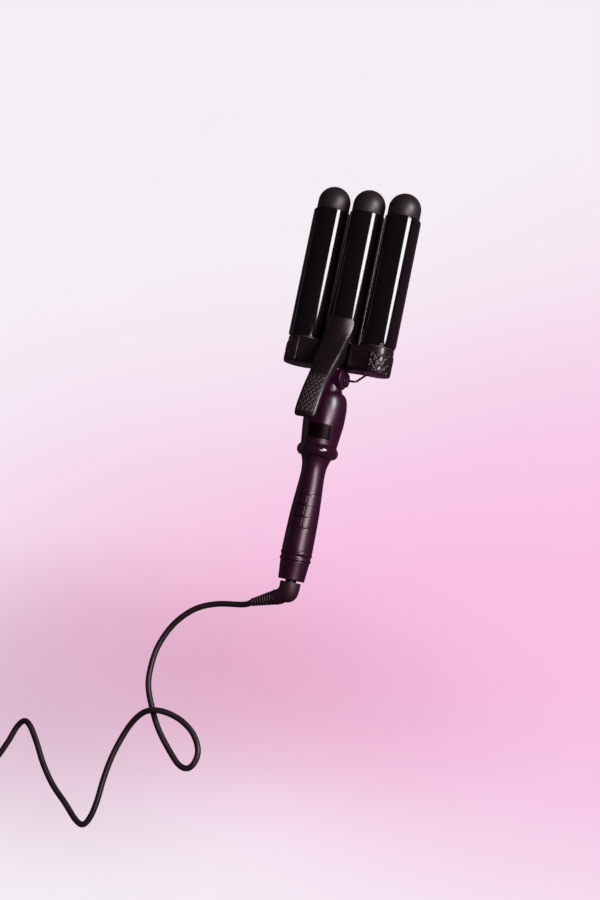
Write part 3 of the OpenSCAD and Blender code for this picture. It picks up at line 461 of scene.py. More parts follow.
plastics = {
    # two tones, roughness, grain, cloud and bump, then what is special
    "barrelGloss": ((9, 6, 8), (13, 9, 12), (0.045, 0.09), 2500, 18, 2e-06, dict(level=0.45)),
    "domeSatin": ((24, 20, 19), (31, 26, 25), (0.4, 0.5), 2200, 20, 1e-05, dict(dust=0.06)),
    "barSatin": ((15, 6, 11), (20, 9, 16), (0.31, 0.4), 2000, 22, 1e-05, dict(dust=0.05)),
    "gripSatin": ((31, 3, 22), (39, 5, 29), (0.28, 0.35), 2200, 18, 8e-06, dict(dust=0.04)),
    "leverSatin": ((20, 12, 13), (26, 16, 18), (0.3, 0.38), 2000, 20, 8e-06, dict(dust=0.05)),
    "ringGloss": ((28, 8, 20), (36, 11, 27), (0.12, 0.18), 2400, 20, 2e-06,
                  dict(coat=0.3, coatRough=0.08)),
    "windowGloss": ((8, 1, 2), (12, 2, 4), (0.3, 0.36), 1800, 60, 0.0, dict(level=0.06)),
    "padRubber": ((21, 12, 15), (29, 18, 22), (0.45, 0.58), 2600, 40, 2e-05, {}),
    "quiltSatin": ((24, 12, 18), (32, 18, 26), (0.2, 0.27), 2200, 40, 4e-06, {}),
    "elbowRubber": ((34, 13, 28), (42, 18, 35), (0.42, 0.55), 1800, 30, 2e-05, dict(dust=0.05)),
    "cordRubber": ((26, 17, 22), (34, 23, 29), (0.4, 0.55), 1500, 60, 3e-05, dict(dust=0.08)),
    "plugPlastic": ((30, 22, 26), (36, 27, 31), (0.4, 0.52), 1800, 30, 2e-05, dict(dust=0.06)),
    "footRubber": ((26, 22, 24), (34, 29, 31), (0.6, 0.75), 1500, 30, 4e-05, dict(dust=0.12)),
    "whiteNylon": ((214, 210, 202), (226, 222, 214), (0.4, 0.5), 1500, 30, 1e-05, {}),
    "heaterWhite": ((216, 212, 206), (196, 190, 182), (0.6, 0.75), 2600, 90, 3e-05,
                    dict(dust=0.3)),
    "loomSleeve": ((40, 38, 40), (64, 58, 60), (0.5, 0.7), 900, 140, 8e-05, {}),
    "chipBlack": ((34, 34, 36), (42, 42, 44), (0.45, 0.6), 1600, 60, 2e-05, {}),
    "panelGrey": ((92, 104, 92), (104, 116, 102), (0.2, 0.3), 1600, 60, 0.0, {}),
}
metals = {
    # tone, roughness and the stretch of its streaks
    "wireSteel": ((96, 84, 92), (0.2, 0.34)),
    "pinSteel": ((206, 200, 202), (0.14, 0.3)),
    "screwSteel": ((120, 114, 118), (0.28, 0.42), (2500, 2500, 2500)),
    "springSteel": ((168, 160, 156), (0.2, 0.36)),
    "bracketSteel": ((156, 152, 154), (0.3, 0.48), (900, 200, 3000)),
    "coreMetal": ((172, 170, 172), (0.3, 0.5), (3500, 300, 3500)),
    "bushBrass": ((196, 164, 104), (0.25, 0.4), (600, 3000, 3000)),
    "canMetal": ((188, 186, 184), (0.22, 0.36), (1500, 1500, 1500)),
    "plugMetal": ((202, 196, 180), (0.16, 0.3), (2500, 200, 2500)),
}
finishes = {name: plasticMaterial(name, *values, **special)
            for name, (*values, special) in plastics.items()}
finishes.update({name: metalMaterial(name, *values) for name, values in metals.items()})


def boardMaterial():
    # green solder mask over a pattern of copper tracks
    material, tree, shader, coords = startMaterial("boardGreen")
    tracks = addNode(tree, "ShaderNodeTexBrick", {"Vector": coords}, in_Scale=260.0,
                     in_Color1=shade((24, 92, 58)), in_Color2=shade((30, 104, 66)),
                     in_Mortar=shade((70, 132, 84)), in_Mortar_Size=0.03)
    grain = addNode(tree, "ShaderNodeTexNoise", {"Vector": coords}, in_Scale=900.0, in_Detail=3.0)
    rough = addNode(tree, "ShaderNodeMapRange", {"Value": grain.outputs["Fac"]}, in_To_Min=0.25,
                    in_To_Max=0.45)
    tree.links.new(tracks.outputs["Color"], shader.inputs["Base Color"])
    tree.links.new(rough.outputs["Result"], shader.inputs["Roughness"])
    addBump(tree, shader, tracks.outputs["Fac"], 0.00003)
    return material


finishes["boardGreen"] = boardMaterial()
print("finishes made:", len(finishes))


def repeatOn(name, points, turns, form, values, material, sharpDegrees, shares=()):
    # one form on each point, turned and sized by the points' own attributes
    tree = bpy.data.node_groups.new(name, "GeometryNodeTree")
    face = tree.interface
    face.new_socket("Geometry", in_out="INPUT", socket_type="NodeSocketGeometry")
    keys = {label: face.new_socket(label, in_out="INPUT", socket_type="NodeSocketFloat").identifier
            for label in values}
    face.new_socket("Geometry", in_out="OUTPUT", socket_type="NodeSocketGeometry")
    start, end = addNode(tree, "NodeGroupInput"), addNode(tree, "NodeGroupOutput")
    shape, sizes = form(tree, start.outputs)
    lean = addNode(tree, "GeometryNodeInputNamedAttribute", data_type="FLOAT_VECTOR",
                   in_Name="lean")
    turn = addNode(tree, "FunctionNodeEulerToRotation", {0: lean.outputs["Attribute"]})
    size = addNode(tree, "ShaderNodeCombineXYZ", sizes, in_0=1, in_1=1, in_2=1)
    place = addNode(tree, "GeometryNodeInstanceOnPoints",
                    {"Points": start.outputs["Geometry"], "Instance": shape,
                     "Rotation": turn.outputs[0], "Scale": size.outputs[0]})
    real = addNode(tree, "GeometryNodeRealizeInstances", {"Geometry": place.outputs["Instances"]})
    paint = addNode(tree, "GeometryNodeSetMaterial", {"Geometry": real.outputs["Geometry"]},
                    in_Material=material)
    tree.links.new(paint.outputs["Geometry"], end.inputs["Geometry"])
    mesh = bpy.data.meshes.new(name)
    mesh.from_pydata(points, [], [])
    # each attribute is filled before the next is made
    lean = mesh.attributes.new("lean", "FLOAT_VECTOR", "POINT")
    for k, value in enumerate(turns):
        lean.data[k].vector = tuple(value)
    if shares:
        share = mesh.attributes.new("share", "FLOAT", "POINT")
        for k, value in enumerate(shares):
            share.data[k].value = value
    obj = bpy.data.objects.new(name, mesh)
    scene.collection.objects.link(obj)
    repeat = obj.modifiers.new("repeat", "NODES")
    repeat.node_group = tree
    for label, value in values.items():
        repeat[keys[label]] = value
    return settle(obj, sharpDegrees)

# cord, coil and plug
cordSetup = {"radius": 2.75, "sides": 16, "lie": 2.85, "spacing": 5.67, "coilCentre": (-300, -262),
             "coilRadius": 32, "coilHeight": 9.15, "plugX": -336, "plugZ": 7,
             "outletAt": -13.3, "sleeveEnd": 12.6 + 23.6}
outletTurn = math.radians(68)
outletDir = Vector((-math.sin(outletTurn), -math.cos(outletTurn), 0))
# end of the strain relief, in the handle's frame
reliefTip = Vector((0, cordSetup["outletAt"], 0)) + cordSetup["sleeveEnd"] * outletDir
tipOnTable = tableFrame.inverted() @ (handleFrame @ reliefTip)
tipDir = ((handleFrame.to_3x3() @ outletDir) * 1000).normalized()
lie = cordSetup["lie"]
route = [tipOnTable - 3 * tipDir, tipOnTable + 0.4 * tipDir,
         tipOnTable + 9.4 * tipDir + Vector((0, 0, -1)), (-69, -34, 3.6),
         (-90, -43, lie), (-106, -60, lie), (-115, -81, lie), (-117, -101, lie), (-114, -121, lie),
         (-104, -140, lie), (-92, -157, lie), (-77, -172, lie), (-62, -184, lie), (-52, -185, lie),
         (-47, -177, lie), (-48, -166, lie), (-57, -154, lie), (-71, -145.5, 3.8), (-85, -142, 7),
         (-98, -142.5, 8.8), (-110, -147.5, 6.6), (-120, -160, 3.6), (-126, -177, lie),
         (-129.5, -194, lie), (-131, -213, lie), (-131, -234, lie), (-133, -249, lie),
         (-138, -257, lie), (-147, -254.5, lie), (-162, -243, lie), (-180, -230, lie),
         (-196, -214, lie), (-210, -196, lie), (-222, -183, lie), (-229.5, -180.5, lie),
         (-235, -188, lie), (-239, -202, lie), (-246, -220, lie), (-255.5, -237, 3.6),
         (-262, -250, 5.4)]


def coilRoute():
    # six and a half turns stacked as a hexagon; each shifts by one place on the far side
    places = [(0.866, -0.5), (0, -1), (-0.866, -0.5), (0, 0), (-0.866, 0.5), (0, 1), (0.866, 0.5)]
    cx, cy = cordSetup["coilCentre"]
    points = []
    for k in range(313):
        turned = 7.5 * k
        passes = max(turned - 200, 0) / 360
        whole = min(int(passes), 5)
        share = min(max((passes - whole) / 0.34, 0), 1)
        if turned < 200:
            whole, share = 0, 0
        share = share * share * (3 - 2 * share)
        (u0, v0), (u1, v1) = places[whole], places[whole + 1]
        u, v = u0 + (u1 - u0) * share, v0 + (v1 - v0) * share
        r = cordSetup["coilRadius"] + u * cordSetup["spacing"]
        a = math.radians(-turned)
        points.append((cx + r * math.cos(a), cy + r * math.sin(a),
                       cordSetup["coilHeight"] + v * cordSetup["spacing"]))
    return points


coil = coilRoute()
tail = [(-336.7, -255, 11.9), (-336.4, -248.5, 10.4), (-336.1, -242.5, 8.2), (-336, -237, 7),
        (-336, -232, 7)]
free = smoothLine(route + [coil[0], coil[1]], 5)[:-6]
cordLine = free + coil + smoothLine([coil[-1]] + tail, 4)[1:]
cordMesh = sweepRings(wireRings(cordLine, cordSetup["radius"], cordSetup["sides"]))
supplyCord = makePiece("supplyCord", *cordMesh, finishes["cordRubber"], tableFrame, 60)

plugSetup = {"outline": [(-6, 0), (6, 0), (11, 6), (16, 16), (17.5, 22), (17.5, 33), (14.5, 36),
                         (-14.5, 36), (-17.5, 33), (-17.5, 22), (-16, 16), (-11, 6)],
             "foot": -220, "low": 0.3, "high": 13.7, "edge": 2.4}


def makePlug():
    # waisted plug body with soft edges
    s = plugSetup
    outline = roundCorners(s["outline"], 3, 4)
    n = len(outline)
    levels = [(s["low"], 2.4), (s["low"] + 0.5, 1.1), (s["low"] + 1.4, 0.3), (s["low"] + 2.6, 0),
              (s["high"] - 2.6, 0), (s["high"] - 1.4, 0.3), (s["high"] - 0.5, 1.1),
              (s["high"], 2.4)]
    middle = Vector((0, 19))
    rings = []
    for z, inset in levels:
        ring = []
        for x, y in outline:
            away = Vector((x, y)) - middle
            p = middle + away * (1 - inset / away.length)
            ring.append((cordSetup["plugX"] + p.x, s["foot"] + min(max(p.y, 0), 36), z))
        rings.append(ring)
    return makePiece("plugShell", *sweepRings(rings), finishes["plugPlastic"], tableFrame, 50)


def makePlugRelief():
    # ribbed sleeve behind the plug
    profile = [(2.9, -238.2), (3.2, -237.6)]
    for k in range(5):
        a, r = -237 + k * 3.3, 3.3 + k * 0.24
        profile += [(r, a), (r + 0.1, a + 1.7), (r - 0.55, a + 1.9), (r - 0.55, a + 3.1)]
    profile += [(4.5, -220.6), (4.5, -219.5), (0, -219.5), (0, -238.2)]
    return makePiece("plugSleeve", *lathe(roundCorners(profile, 0.2, 2), cordSetup["plugX"],
                     cordSetup["plugZ"], 48), finishes["plugPlastic"], tableFrame, 50)


def makeTie():
    # flat releasable strap round the bundle
    ring = roundCorners([(8.5, -3), (9.1, -3), (9.1, 3), (8.5, 3)], 0.2, 2)
    verts, faces = lathe(ring, 0, 0, 64)
    cx, cy = cordSetup["coilCentre"]
    verts = [(cx + a, cy - cordSetup["coilRadius"] + x, cordSetup["coilHeight"] + z)
             for x, a, z in verts]
    buckle = prism(roundCorners([(-3.2, 8.6), (3.2, 8.6), (3.2, 10.4), (-3.2, 10.4)], 0.5, 3),
                   -3.6, 3.6)
    buckleVerts = [(cx + a, cy - cordSetup["coilRadius"] + x, cordSetup["coilHeight"] + z)
                   for x, a, z in buckle[0]]
    return makePiece("cordStrap", *joinMeshes([(verts, faces), (buckleVerts, buckle[1])]),
                     finishes["footRubber"], tableFrame, 50)


plugShell, plugSleeve, cordStrap = makePlug(), makePlugRelief(), makeTie()
carry(plugShell, "handle", "plug_body", slot="plug")
carry(plugSleeve, "handle", "plug_relief", slot="plug")
carry(cordStrap, "handle", "coil_tie", slot="tie")
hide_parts("cord_tube", "cord_coil")
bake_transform(supplyCord)
print("cord and plug made")

# barrels
barrel = {"pitch": 35.5, "drop": -4, "radius": 16.4, "wall": 2.1, "foot": 223.6, "end": 345.9,
          "plate": 0.8, "plateBack": 25, "plateFront": (30, 58), "plateFade": (78, 86),
          "plateInset": 0.6, "plateCorner": 7}


def sleeveMesh(x):
    b = barrel
    ring = [(b["radius"] - b["wall"], b["foot"]), (b["radius"], b["foot"]),
            (b["radius"], b["end"]), (b["radius"] - b["wall"], b["end"])]
    return lathe(roundCorners(ring, 0.5, 5), x, b["drop"], 160)


def plateMesh(side):
    # thin plate wrapped over the outer flank; its front edge runs out into the sleeve
    b = barrel
    r0, r1 = b["radius"] - 0.3, b["radius"] + b["plate"]
    a0, a1 = b["foot"] + b["plateInset"], b["end"] - b["plateInset"]
    fadeEnd = b["plateFade"][side > 0]
    back, front = -math.radians(b["plateBack"]), math.radians(fadeEnd)
    fade = math.radians(fadeEnd - b["plateFront"][side > 0])
    rows = []
    steps = 40
    for j in range(steps + 1):
        angle = back + (front - back) * j / steps
        up = (angle - back) * r1  # distance from the back edge along the surface
        c = b["plateCorner"]
        pull = c - math.sqrt(max(c * c - (c - up) ** 2, 0)) if up < c else 0
        rise = min(1, (front - angle) / fade)  # fades out towards the front
        lift = b["plate"] * math.sin(rise * math.pi / 2) ** 2 * math.sqrt(min(up / 0.6, 1) + 1e-4)
        rows.append((angle, a0 + pull, a1 - pull, lift))
    along = [0, 0.001, 0.004, 0.01] + [k / 20 for k in range(1, 20)] + [0.99, 0.996, 0.999, 1]
    verts, n = [], len(along)
    for top in (True, False):
        for angle, s, e, lift in rows:
            for t in along:
                a = s + (e - s) * t
                soft = math.sqrt(max(1 - max(1 - min(a - s, e - a) / 0.7, 0) ** 2, 0))
                r = b["radius"] + (lift * soft if top else -0.3)
                verts.append((side * (b["pitch"] + r * math.cos(angle)), a,
                              b["drop"] + r * math.sin(angle)))
    m = len(rows)
    faces = []
    for layer in (0, m * n):
        faces += [[layer + j * n + i, layer + j * n + i + 1, layer + (j + 1) * n + i + 1,
                   layer + (j + 1) * n + i] for j in range(m - 1) for i in range(n - 1)]
    rim = [i for i in range(n)] + [j * n + n - 1 for j in range(1, m)] \
        + [(m - 1) * n + i for i in range(n - 2, -1, -1)] + [j * n for j in range(m - 2, 0, -1)]
    faces += [[rim[k], rim[(k + 1) % len(rim)], m * n + rim[(k + 1) % len(rim)], m * n + rim[k]]
              for k in range(len(rim))]
    return verts, faces


def makeSleeves():
    for name, node, body, side in (("leftSleeve", "sleeve_left", "handle", -1),
                                   ("rightSleeve", "sleeve_right", "handle", 1),
                                   ("middleSleeve", "sleeve_middle", "clamp", 0)):
        parts = [sleeveMesh(side * barrel["pitch"])]
        if side:
            parts.append(plateMesh(side))
        carry(makePiece(name, *joinMeshes(parts), finishes["barrelGloss"], sharpDegrees=50),
              body, node, slot="sleeve_gloss")


dome = {"radius": 15.2, "foot": 346.0, "skirt": 8.5, "inner": 12.1}


def domeMesh(x):
    d = dome
    centre = d["foot"] + d["skirt"]
    outer = [(d["radius"] - 0.5, d["foot"]), (d["radius"], d["foot"] + 0.5)]
    outer += [(d["radius"] * math.cos(t), centre + d["radius"] * math.sin(t))
              for t in (math.pi / 2 * k / 20 for k in range(21))]
    inner = [(0, centre + d["radius"] - 2.4), (8, centre + 7), (d["inner"] - 1.6, centre),
             (d["inner"] - 1.6, d["foot"] - 7), (d["inner"], d["foot"] - 7),
             (d["inner"], d["foot"])]
    return lathe(outer + inner, x, barrel["drop"], 128)


def makeDomes():
    for name, node, body, side in (("leftTip", "dome_left", "handle", -1),
                                   ("rightTip", "dome_right", "handle", 1),
                                   ("middleTip", "dome_middle", "clamp", 0)):
        carry(makePiece(name, *domeMesh(side * barrel["pitch"]), finishes["domeSatin"],
                        sharpDegrees=55), body, node, slot="tips")


def makeCollars():
    ring = roundCorners([(14.3, 222.1), (15.6, 222.1), (15.6, 223.5), (14.3, 223.5)], 0.3, 3)
    parts = [lathe(ring, side * barrel["pitch"], barrel["drop"], 128) for side in (-1, 1)]
    carry(makePiece("barrelCollars", *joinMeshes(parts), finishes["domeSatin"], sharpDegrees=55),
          "handle", "side_collars", slot="bar_plastic")


makeSleeves()
makeDomes()
makeCollars()
print("barrels made")

# crossbar
crossbar = {"foot": 198, "split": 202.6, "top": 222, "radius": 15.75, "webTop": 6, "webLow": -15,
            "browAt": 14.2, "browTop": 11, "roll": 4.2, "hinge": 210,
            "screws": [(-24, -11), (24, -11), (-41, -4), (41, -4)], "screwRadius": 2.4,
            "hingeHeight": 13, "ear": 4.3, "earIn": 3.6, "earOut": 7.5, "edge": 0.9}


def barOutline(inset=0, drop=0):
    # two round ends joined by a web whose front rises beside the hinge
    c = crossbar
    radius, middle = c["radius"] - inset, barrel["drop"]
    brow, web = c["browTop"] - inset, c["webTop"] - inset
    start = -math.pi - math.asin((c["webLow"] + inset - middle) / radius)
    end = math.pi - math.asin((brow - middle) / radius)
    right, steps = [], 40
    for k in range(steps + 1):
        t = start + (end - start) * k / steps
        right.append((barrel["pitch"] + radius * math.cos(t), middle + radius * math.sin(t)))
    right += [(c["browAt"] + 2.4, brow), (c["browAt"] + 1.5, brow - 0.4),
              (c["browAt"] + 1.1, brow - 1.2), (c["browAt"] + 0.8, web + 1),
              (c["browAt"] + 0.3, web + 0.3), (c["browAt"] - 0.6, web)]
    right = [(x, z - drop * frontShare(z)) for x, z in right]
    return right + [(-x, z) for x, z in reversed(right)]


def frontShare(z):
    # 1 at the crossbar's front, 0 from the barrels' plane backwards
    return max(0, (z - barrel["drop"]) / crossbar["radius"]) ** 2


def rolled(depth):
    # how far the front has rolled back at a depth below the lower edge
    roll = crossbar["roll"]
    return roll - math.sqrt(roll ** 2 - (roll - min(depth, roll)) ** 2)


def makeCrossbar():
    c = crossbar
    levels = [(c["split"], 0), (c["top"] - c["edge"], 0), (c["top"] - 0.6, 0.06),
              (c["top"] - 0.3, 0.25), (c["top"] - 0.1, 0.5), (c["top"], c["edge"])]
    rings = [[(x, a, z) for x, z in barOutline(inset)] for a, inset in levels]
    body = makePiece("crossbarBody", *sweepRings(rings), finishes["barSatin"], sharpDegrees=50)
    ears = []
    for x0, x1 in ((-c["earOut"], -c["earIn"]), (c["earIn"], c["earOut"])):
        outline = [(c["hinge"] + c["ear"] * math.cos(t), c["hingeHeight"] + c["ear"] * math.sin(t))
                   for t in (math.pi * k / 16 for k in range(17))]
        outline += [(c["hinge"] - c["ear"], 5), (c["hinge"] + c["ear"], 5)]
        ears.append(sweepRings([[(x, a, z) for a, z in outline] for x in (x0, x1)]))
    ear = makePiece("crossbarEars", *joinMeshes(ears), finishes["barSatin"])
    softenEdges(ear, 0.5, 3, 50, 50)
    joinPiece(body, ear)
    carry(body, "handle", "crossbar_body", slot="bar_plastic")


def makeCover():
    # closes the crossbar towards the handle; its front rolls over a large radius
    c = crossbar
    rings = []
    for depth in (0, 0.06, 0.2, 0.4, 0.7, 1.1, 1.6, 2.2, 3, 3.8, c["split"] - c["foot"] - 0.03):
        inset = 0.7 - math.sqrt(max(0.49 - max(0.7 - depth, 0) ** 2, 0))
        rings.append([(x, c["foot"] + depth, z) for x, z in barOutline(inset, rolled(depth))])
    cover = makePiece("crossbarCover", *sweepRings(rings), finishes["barSatin"], sharpDegrees=50)
    cutters = []
    for x, z in c["screws"]:
        bore = [(x + c["screwRadius"] * math.cos(t), z + c["screwRadius"] * math.sin(t))
                for t in (2 * math.pi * k / 32 for k in range(32))]
        cutters.append(makePiece("screwBore", *prism(bore, c["foot"] - 1, c["foot"] + 1.1),
                                 finishes["barSatin"]))
    combine(cover, cutters, 50)
    carry(cover, "handle", "crossbar_cover", slot="bar_plastic")


quilt = {"inner": 15.85, "outer": 17.2, "shoulder": 16.4, "foot": 198, "top": 222, "lip": 5.4,
         "edge": 0.9, "cellWide": 7.4, "cellTall": 9.0, "depth": 0.8, "bevel": 0.36,
         "step": 0.26}


def quiltHeight(u, v):
    # flat-topped diamonds with bevelled sides between crossing grooves
    p = u / quilt["cellWide"] + v / quilt["cellTall"]
    q = u / quilt["cellWide"] - v / quilt["cellTall"]
    dp, dq = abs((p % 1) - 0.5), abs((q % 1) - 0.5)  # 0.5 on a groove, 0 in the middle
    rise = 1 - 2 * max(dp, dq)
    return quilt["depth"] * min(rise / quilt["bevel"], 1)


def makeCup(name, node, side):
    s = quilt
    arc = math.pi * s["outer"]
    nu, nv = int(arc / s["step"]), int((s["top"] - s["foot"]) / s["step"])
    tall, edge = s["top"] - s["foot"], s["edge"]
    verts, faces, footRadius = [], [], []
    for j in range(nu + 1):
        angle = -math.pi / 2 + math.pi * j / nu
        u = arc * j / nu
        front = 0.12 + 0.84 * max(0, math.sin(angle)) ** 2  # how much of the roll shows here
        for i in range(nv + 1):
            v = tall * i / nv
            margin = min(v, tall - v, u * 0.4, (arc - u) * (0.4 if side > 0 else 0.15)) / edge
            plain = min(tall - s["lip"] - v, v - 2.6 * front) / edge
            step = min(max((v - tall + s["lip"] + 0.5) / 0.5, 0), 1)
            outer = s["outer"] + (s["shoulder"] - s["outer"]) * step * step * (3 - 2 * step)
            soft = math.sqrt(max(1 - max(1 - margin, 0) ** 2, 0))
            fade = min(max(margin - 1, 0) / 0.5, max(plain, 0) / 0.3, 1)
            r = s["inner"] + 0.1 + (outer - s["depth"] - s["inner"] - 0.1) * soft \
                + fade * quiltHeight(u - arc / 2, v) + (1 - fade) * soft * s["depth"] * 0.9 \
                - rolled(v) * front
            if i == 0:
                footRadius.append(min(s["inner"], r - 0.1))
            verts.append((side * (barrel["pitch"] + r * math.cos(angle)), s["foot"] + v,
                          barrel["drop"] + r * math.sin(angle)))
    n = nv + 1
    for j in range(nu):
        for i in range(nv):
            faces.append([j * n + i, j * n + i + 1, (j + 1) * n + i + 1, (j + 1) * n + i])
    base = len(verts)
    for j in range(nu + 1):
        angle = -math.pi / 2 + math.pi * j / nu
        for a, r in ((s["foot"], footRadius[j]), (s["top"], s["inner"])):
            verts.append((side * (barrel["pitch"] + r * math.cos(angle)), a,
                          barrel["drop"] + r * math.sin(angle)))
    for j in range(nu):
        faces.append([base + 2 * j, base + 2 * j + 1, base + 2 * j + 3, base + 2 * j + 2])
        faces.append([j * n, (j + 1) * n, base + 2 * j + 2, base + 2 * j])
        faces.append([j * n + nv, (j + 1) * n + nv, base + 2 * j + 3, base + 2 * j + 1])
    faces.append(list(range(n)) + [base + 1, base])
    faces.append(list(range(nu * n, (nu + 1) * n)) + [base + 2 * nu + 1, base + 2 * nu])
    carry(makePiece(name, verts, faces, finishes["quiltSatin"], sharpDegrees=180), "handle", node,
          slot="quilt_cups")


makeCrossbar()
makeCover()
makeCup("leftQuilt", "cup_left", -1)
makeCup("rightQuilt", "cup_right", 1)
print("crossbar made")

# handle
grip = {"wall": 1.8, "profile": [
    (14.12, 27.4), (14.1, 30), (13.98, 38), (13.82, 48), (13.6, 57), (13.3, 64), (12.95, 70),
    (12.6, 75.5), (12.22, 81), (11.85, 86), (11.5, 91), (11.25, 95.5), (11.15, 99), (11.22, 102),
    (11.45, 105), (11.95, 108), (12.75, 111), (13.9, 114), (14.3, 114.8)],
    "lines": [47.75, 58.25, 68.75, 79.25], "lineDepth": 0.16, "lineWide": 0.8}
bulb = {"wall": 1.8, "neck": 10.9, "profile": [
    (16.7, 125.5), (17.05, 129), (17.5, 133), (17.95, 137), (18.4, 141), (18.8, 145), (19, 149),
    (19.05, 153), (19, 157), (18.85, 161), (18.5, 164.5), (17.75, 168.5), (16.7, 171.6),
    (15.2, 174.0), (13.5, 175.4), (12, 176)]}
window = {"x": 4.1, "at": 137.5, "wide": 19, "long": 13.6, "corner": 1.6}
button = {"first": 53, "pitch": 10.5, "wide": 9, "long": 9.4, "corner": 2, "gap": 0.35,
          "proud": 0.3}
gripLine = smoothLine(grip["profile"], 3)
for place in grip["lines"]:
    # shallow line turned into the grip beside each key
    wide, deep = grip["lineWide"], grip["lineDepth"]
    notch = [(profileAt(gripLine, place + k * wide / 8)
              - deep * (0.5 + 0.5 * math.cos(math.pi * k / 4)), place + k * wide / 8)
             for k in range(-4, 5)]
    gripLine = [p for p in gripLine if p[1] < place - wide / 2 - 0.05] + notch \
        + [p for p in gripLine if p[1] > place + wide / 2 + 0.05]
bulbLine = smoothLine(bulb["profile"], 3)


def halfShell(name, outline, start, material):
    # half of a turned shell with a fine parting line along both sides
    shell = makePiece(name, *lathe(outline, steps=96, start=start + 0.18, sweep=179.64), material)
    return softenEdges(shell, 0.22, 2, 55, 45)


def openingCutter(x, a, w, l, r):
    outline = roundRect(x, a, w, l, r, 6)
    rings = [[(px, pa, z) for px, pa in outline] for z in (3, 30)]
    return makePiece("openingCutter", *sweepRings(rings), finishes["gripSatin"])


def surfaceOver(line, offset):
    # height of the turned surface above the axis at a point of its top
    def height(x, a):
        r = profileAt(line, a) + offset
        return math.sqrt(max(r * r - x * x, 0.01))
    return height


def makeHandle():
    w = grip["wall"]
    inner = [(r - w, a) for r, a in reversed(gripLine)]
    for name, node, start in (("gripTop", "grip_front", 0), ("gripUnder", "grip_back", 180)):
        shell = halfShell(name, gripLine + inner, start, finishes["gripSatin"])
        if start == 0:
            g = button["gap"]
            combine(shell, [openingCutter(0, button["first"] + i * button["pitch"],
                                          button["wide"] + 2 * g, button["long"] + 2 * g,
                                          button["corner"] + g) for i in range(3)], 45)
        carry(shell, "handle", node, slot="dark_shell")
    inner = [(bulb["neck"], 176), (bulb["neck"], 173.8)]
    inner += [(r - w, a) for r, a in reversed(bulbLine) if a < 172.6]
    for name, node, start in (("bulbTop", "bulb_front", 0), ("bulbUnder", "bulb_back", 180)):
        shell = halfShell(name, bulbLine + inner, start, finishes["gripSatin"])
        if start == 0:
            combine(shell, [openingCutter(window["x"], window["at"], window["wide"] + 0.24,
                                          window["long"] + 0.24, window["corner"] + 0.12)], 45)
        carry(shell, "handle", node, slot="dark_shell")


def makeRings():
    waist = [(14.75, 114.9), (15.8, 115.0), (16.9, 115.5), (18.05, 116.7), (18.85, 118.4),
             (19.15, 120.2), (18.9, 121.9), (18.15, 123.5), (17.3, 124.7), (16.75, 125.3),
             (16.2, 125.4)]
    waist = smoothLine(waist, 3) + [(14.8, 125.4), (14.8, 128.4), (13.9, 128.4), (13.9, 123.4),
                                    (12.8, 122.4), (12.8, 114.9)]
    carry(makePiece("waistRing", *lathe(waist, steps=160), finishes["ringGloss"],
                    sharpDegrees=50), "handle", "waist_ring", slot="gloss_trim")
    groove = [(13.75, 17.7), (14.3, 18.2), (14.45, 19), (14.3, 19.8), (13.85, 20.6), (13.75, 21.6),
              (13.8, 22.6), (14.3, 23.6), (14.55, 24.5), (14.4, 25.4), (13.95, 26.1),
              (13.95, 27.3)]
    groove = [(10.3, 13.6), (11.2, 13.6), (11.2, 17.7)] + smoothLine(groove, 4) \
        + [(11.8, 27.3), (11.8, 28.9), (10.9, 28.9)]
    carry(makePiece("grooveRing", *lathe(groove, steps=128),
                    finishes["gripSatin"], sharpDegrees=60), "handle", "groove_ring",
          slot="gloss_trim")


def makeEndCap():
    outer = [(12.1, 0), (12.35, 4), (12.7, 8), (13.25, 14), (13.6, 17.6)]
    line = smoothLine(outer, 3)
    line = [(11.5, 0), (11.86, 0.08), (12.08, 0.35)] + line[1:-1] + [(13.58, 17.4), (13.4, 17.6)]
    inner = [(11.7, 17.6), (11.45, 14), (10.6, 4), (10.45, 2.2), (5.15, 2.2), (5.15, 0.3),
             (5.5, 0)]
    carry(makePiece("endCap", *lathe(line + inner, steps=128), finishes["gripSatin"],
                    sharpDegrees=50), "handle", "end_cap", slot="dark_shell")


def makeWindow():
    top = surfaceOver(bulbLine, -0.12)
    low = surfaceOver(bulbLine, -0.9)
    carry(makePiece("displayWindow", *skinPatch(window["x"], window["at"], window["wide"],
                    window["long"], window["corner"], top, low, 0.3), finishes["windowGloss"],
                    sharpDegrees=60), "handle", "display_window", slot="window")


def makeButtons():
    # keys that follow the grip, with a flange under the shell
    for i, (name, node, body) in enumerate((("keyDown", "button_down", "down_key"),
                                            ("keyUp", "button_up", "up_key"),
                                            ("keyPower", "button_power", "power_key"))):
        a = button["first"] + i * button["pitch"]
        rIn = profileAt(gripLine, a + button["pitch"] / 2) - grip["wall"]
        z = math.sqrt(rIn ** 2 - (button["wide"] + 2) ** 2 / 4) - button["gap"]
        top = surfaceOver(gripLine, button["proud"])
        cap = skinPatch(0, a, button["wide"], button["long"], button["corner"], top,
                        lambda px, pa: z - 0.5, 0.45)
        flange = skinPatch(0, a, button["wide"] + 2, button["pitch"] - 0.5, 1,
                           lambda px, pa: z, lambda px, pa: z - 1, 0.1)
        carry(makePiece(name, *joinMeshes([cap, flange]), finishes["gripSatin"],
                        sharpDegrees=50), body, node, slot="gloss_trim")


makeHandle()
makeRings()
makeEndCap()
makeWindow()
makeButtons()
print("handle made")

# neck with the stand's boss
neck = {"radius": 10.8, "flange": 12.2, "spigot": 7, "bore": 3.6, "collar": 11.5, "boss": 6.6,
        "bossHalf": 13, "bossAt": 189.5, "bossHeight": -5, "hub": 10.2, "hubHalf": 12.2,
        "hubAt": 189.4, "hubHeight": 1.4}


